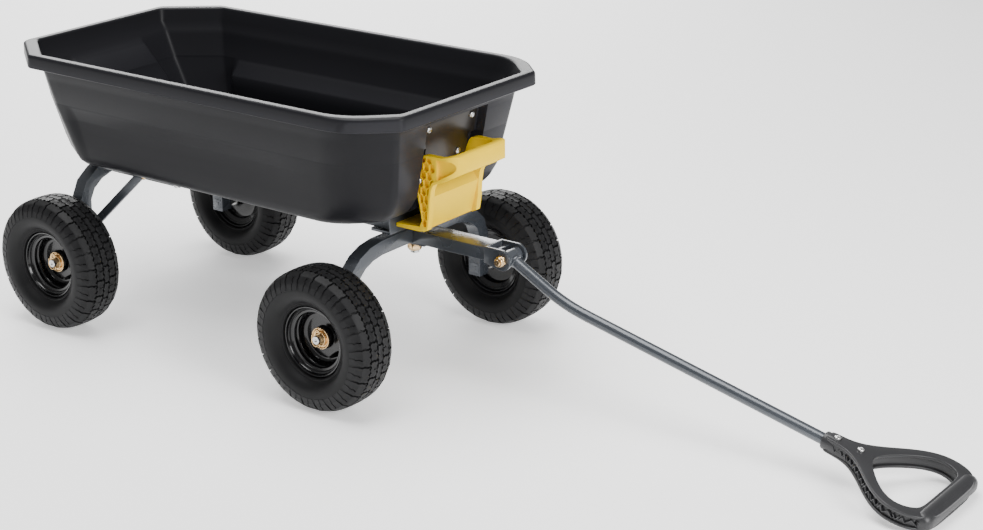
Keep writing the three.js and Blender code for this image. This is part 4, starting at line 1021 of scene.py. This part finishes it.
weld = draw_turned("handle_weld", [(0.0096, 0.0095), (0.0115, 0.0105), (0.0122, 0.0125),
                                   (0.0116, 0.0145), (0.0098, 0.0155)], 32, "X")
weld.rotation_euler = (0, math.atan2(-drop.z, drop.x), 0)
weld.location = hitch
fix_place(weld)
fit_piece(merge_pieces(tube, [sleeve, weld]), "handle", frame_paint,
          ["handle_tube"], 40)

# ---- D-grip ----
# A black polypropylene grip moulded in one: a socket for the tube, two arms and a round bar.
# The arms are I-shaped, and zigzag ribs stiffen their open outer sides.
grip_black = mix_finish("grip_black", (0.016, 0.016, 0.0175), (0.04, 0.04, 0.043), 0.42, 0.1, 1200,
                        0.00006, size=20.0, amount=0.08, edge_highlight_amount=0.35)
grip_out = [(-213, 13), (-196, 14), (-176, 16), (-158, 24), (-138, 40), (-120, 58), (-100, 78),
            (-78, 95), (-58, 104), (-40, 106), (-20, 103), (-4, 95), (8, 80), (14, 62), (15, 30)]
grip_in = [(-129, 4), (-122, 20), (-108, 40), (-92, 59), (-76, 74), (-60, 83), (-46, 86),
           (-30, 82), (-18, 72), (-14, 58), (-14, 30)]


def grip_plate(name, low, high, shrink, rounding):
    """A flat layer of the grip with its hand hole, between two heights."""
    let_go()
    bpy.ops.curve.primitive_bezier_circle_add(location=(0, 0, 0))
    plate = bpy.context.object
    plate.name = name
    plate.data.splines.clear()
    for half, sign in ((grip_out, 1), (grip_in, -1)):
        ring = [*half, *[(x, -y) for x, y in reversed(half)]]
        spline = plate.data.splines.new("NURBS")
        spline.points.add(len(ring) - 1)
        middle_x = -50
        for knot, (x, y) in zip(spline.points, ring):
            away = Vector((x - middle_x, y)).normalized() * shrink * sign
            knot.co = ((x - away.x) / 1000, (y - away.y) / 1000, 0, 1)
        spline.use_cyclic_u = True
        spline.order_u = 3
        spline.resolution_u = 5
    plate.data.dimensions = "2D"
    plate.data.fill_mode = "BOTH"
    plate.data.extrude = (high - low) / 2 - rounding
    plate.data.bevel_depth = rounding
    plate.data.bevel_resolution = 2
    plate.data.offset = -rounding
    plate.location = (0, 0, (low + high) / 2)
    hold(plate)
    bpy.ops.object.convert(target="MESH")
    take_up(plate)
    merge_corners()
    face_out()
    fix_place(plate)
    return plate


layers = [grip_plate("grip_full", 0.0075, 0.0130, 0, 0.0018),
          grip_plate("grip_under", -0.0130, -0.0080, 0, 0.0018),
          grip_plate("grip_web", -0.0110, 0.0105, 4.2, 0.0005)]
bar = draw_turned("grip_bar", [(0, -0.092), (0.008, -0.092), (0.0130, -0.088), (0.0156, -0.080),
                               (0.0160, -0.070), (0.0160, 0.070), (0.0156, 0.080),
                               (0.0130, 0.088), (0.008, 0.092), (0, 0.092)], 48)
ribs = []
for side in (-1, 1):
    ring = grip_out[1:13]
    for i, (first, last) in enumerate(zip(ring, ring[1:])):
        a, b = Vector((first[0], side * first[1])), Vector((last[0], side * last[1]))
        steps = max(1, round((b - a).length / 13))
        for j in range(steps):
            start, end = a.lerp(b, j / steps), a.lerp(b, (j + 1) / steps)
            middle = (start + end) / 2
            run = end - start
            inward = Vector((-50 - middle.x, -middle.y)).normalized() * 2.4
            for tilt in (-1, 1):
                bpy.ops.mesh.primitive_cube_add(size=1)
                rib = bpy.context.object
                rib.scale = (math.hypot(run.length, 15) / 2000, 0.0046, 0.0011)
                turn = Matrix.Rotation(math.atan2(run.y, run.x), 4, "Z")
                lean = Matrix.Rotation(tilt * math.atan2(7.5, run.length / 2), 4, "Y")
                spot = (middle + inward + run * 0.25 * (tilt if (i + j) % 2 else -tilt)) / 1000
                rib.matrix_world = (Matrix.Translation((spot.x, spot.y, 0)) @ turn @ lean
                                    @ Matrix.Diagonal((*rib.scale, 1)))
                fix_place(rib)
                ribs.append(rib)
socket = draw_turned("grip_socket", [(0.0103, -0.216), (0.0142, -0.216), (0.0150, -0.2145),
                                     (0.0150, -0.196), (0.0142, -0.190), (0.0103, -0.190)],
                     40, "X")
grip_body = merge_pieces(layers[0], [layers[1], layers[2], bar, socket, *ribs])
grip_body.rotation_euler = (0, math.atan2(-pull.z, pull.x), 0)
grip_body.location = bar_at
fit_piece(grip_body, "handle", grip_black, ["grip"], 40)
for number, back in ((1, 0.196), (2, 0.154)):
    bolt = draw_turned(f"grip_bolt_{number}_full", [
        (0, -0.013), (0.0025, -0.013), (0.0025, 0.0130), (0.0052, 0.0130), (0.0056, 0.0136),
        (0.0054, 0.0150), (0.0044, 0.0162), (0.0026, 0.0168), (0.0018, 0.0160), (0, 0.0160)], 28, "Z")
    bolt.location = (-back, 0, 0)
    fix_place(bolt)
    bolt.rotation_euler = (0, math.atan2(-pull.z, pull.x), 0)
    bolt.location = bar_at
    fit_piece(bolt, "handle", zinc, [f"grip_bolt_{number}"], 40)
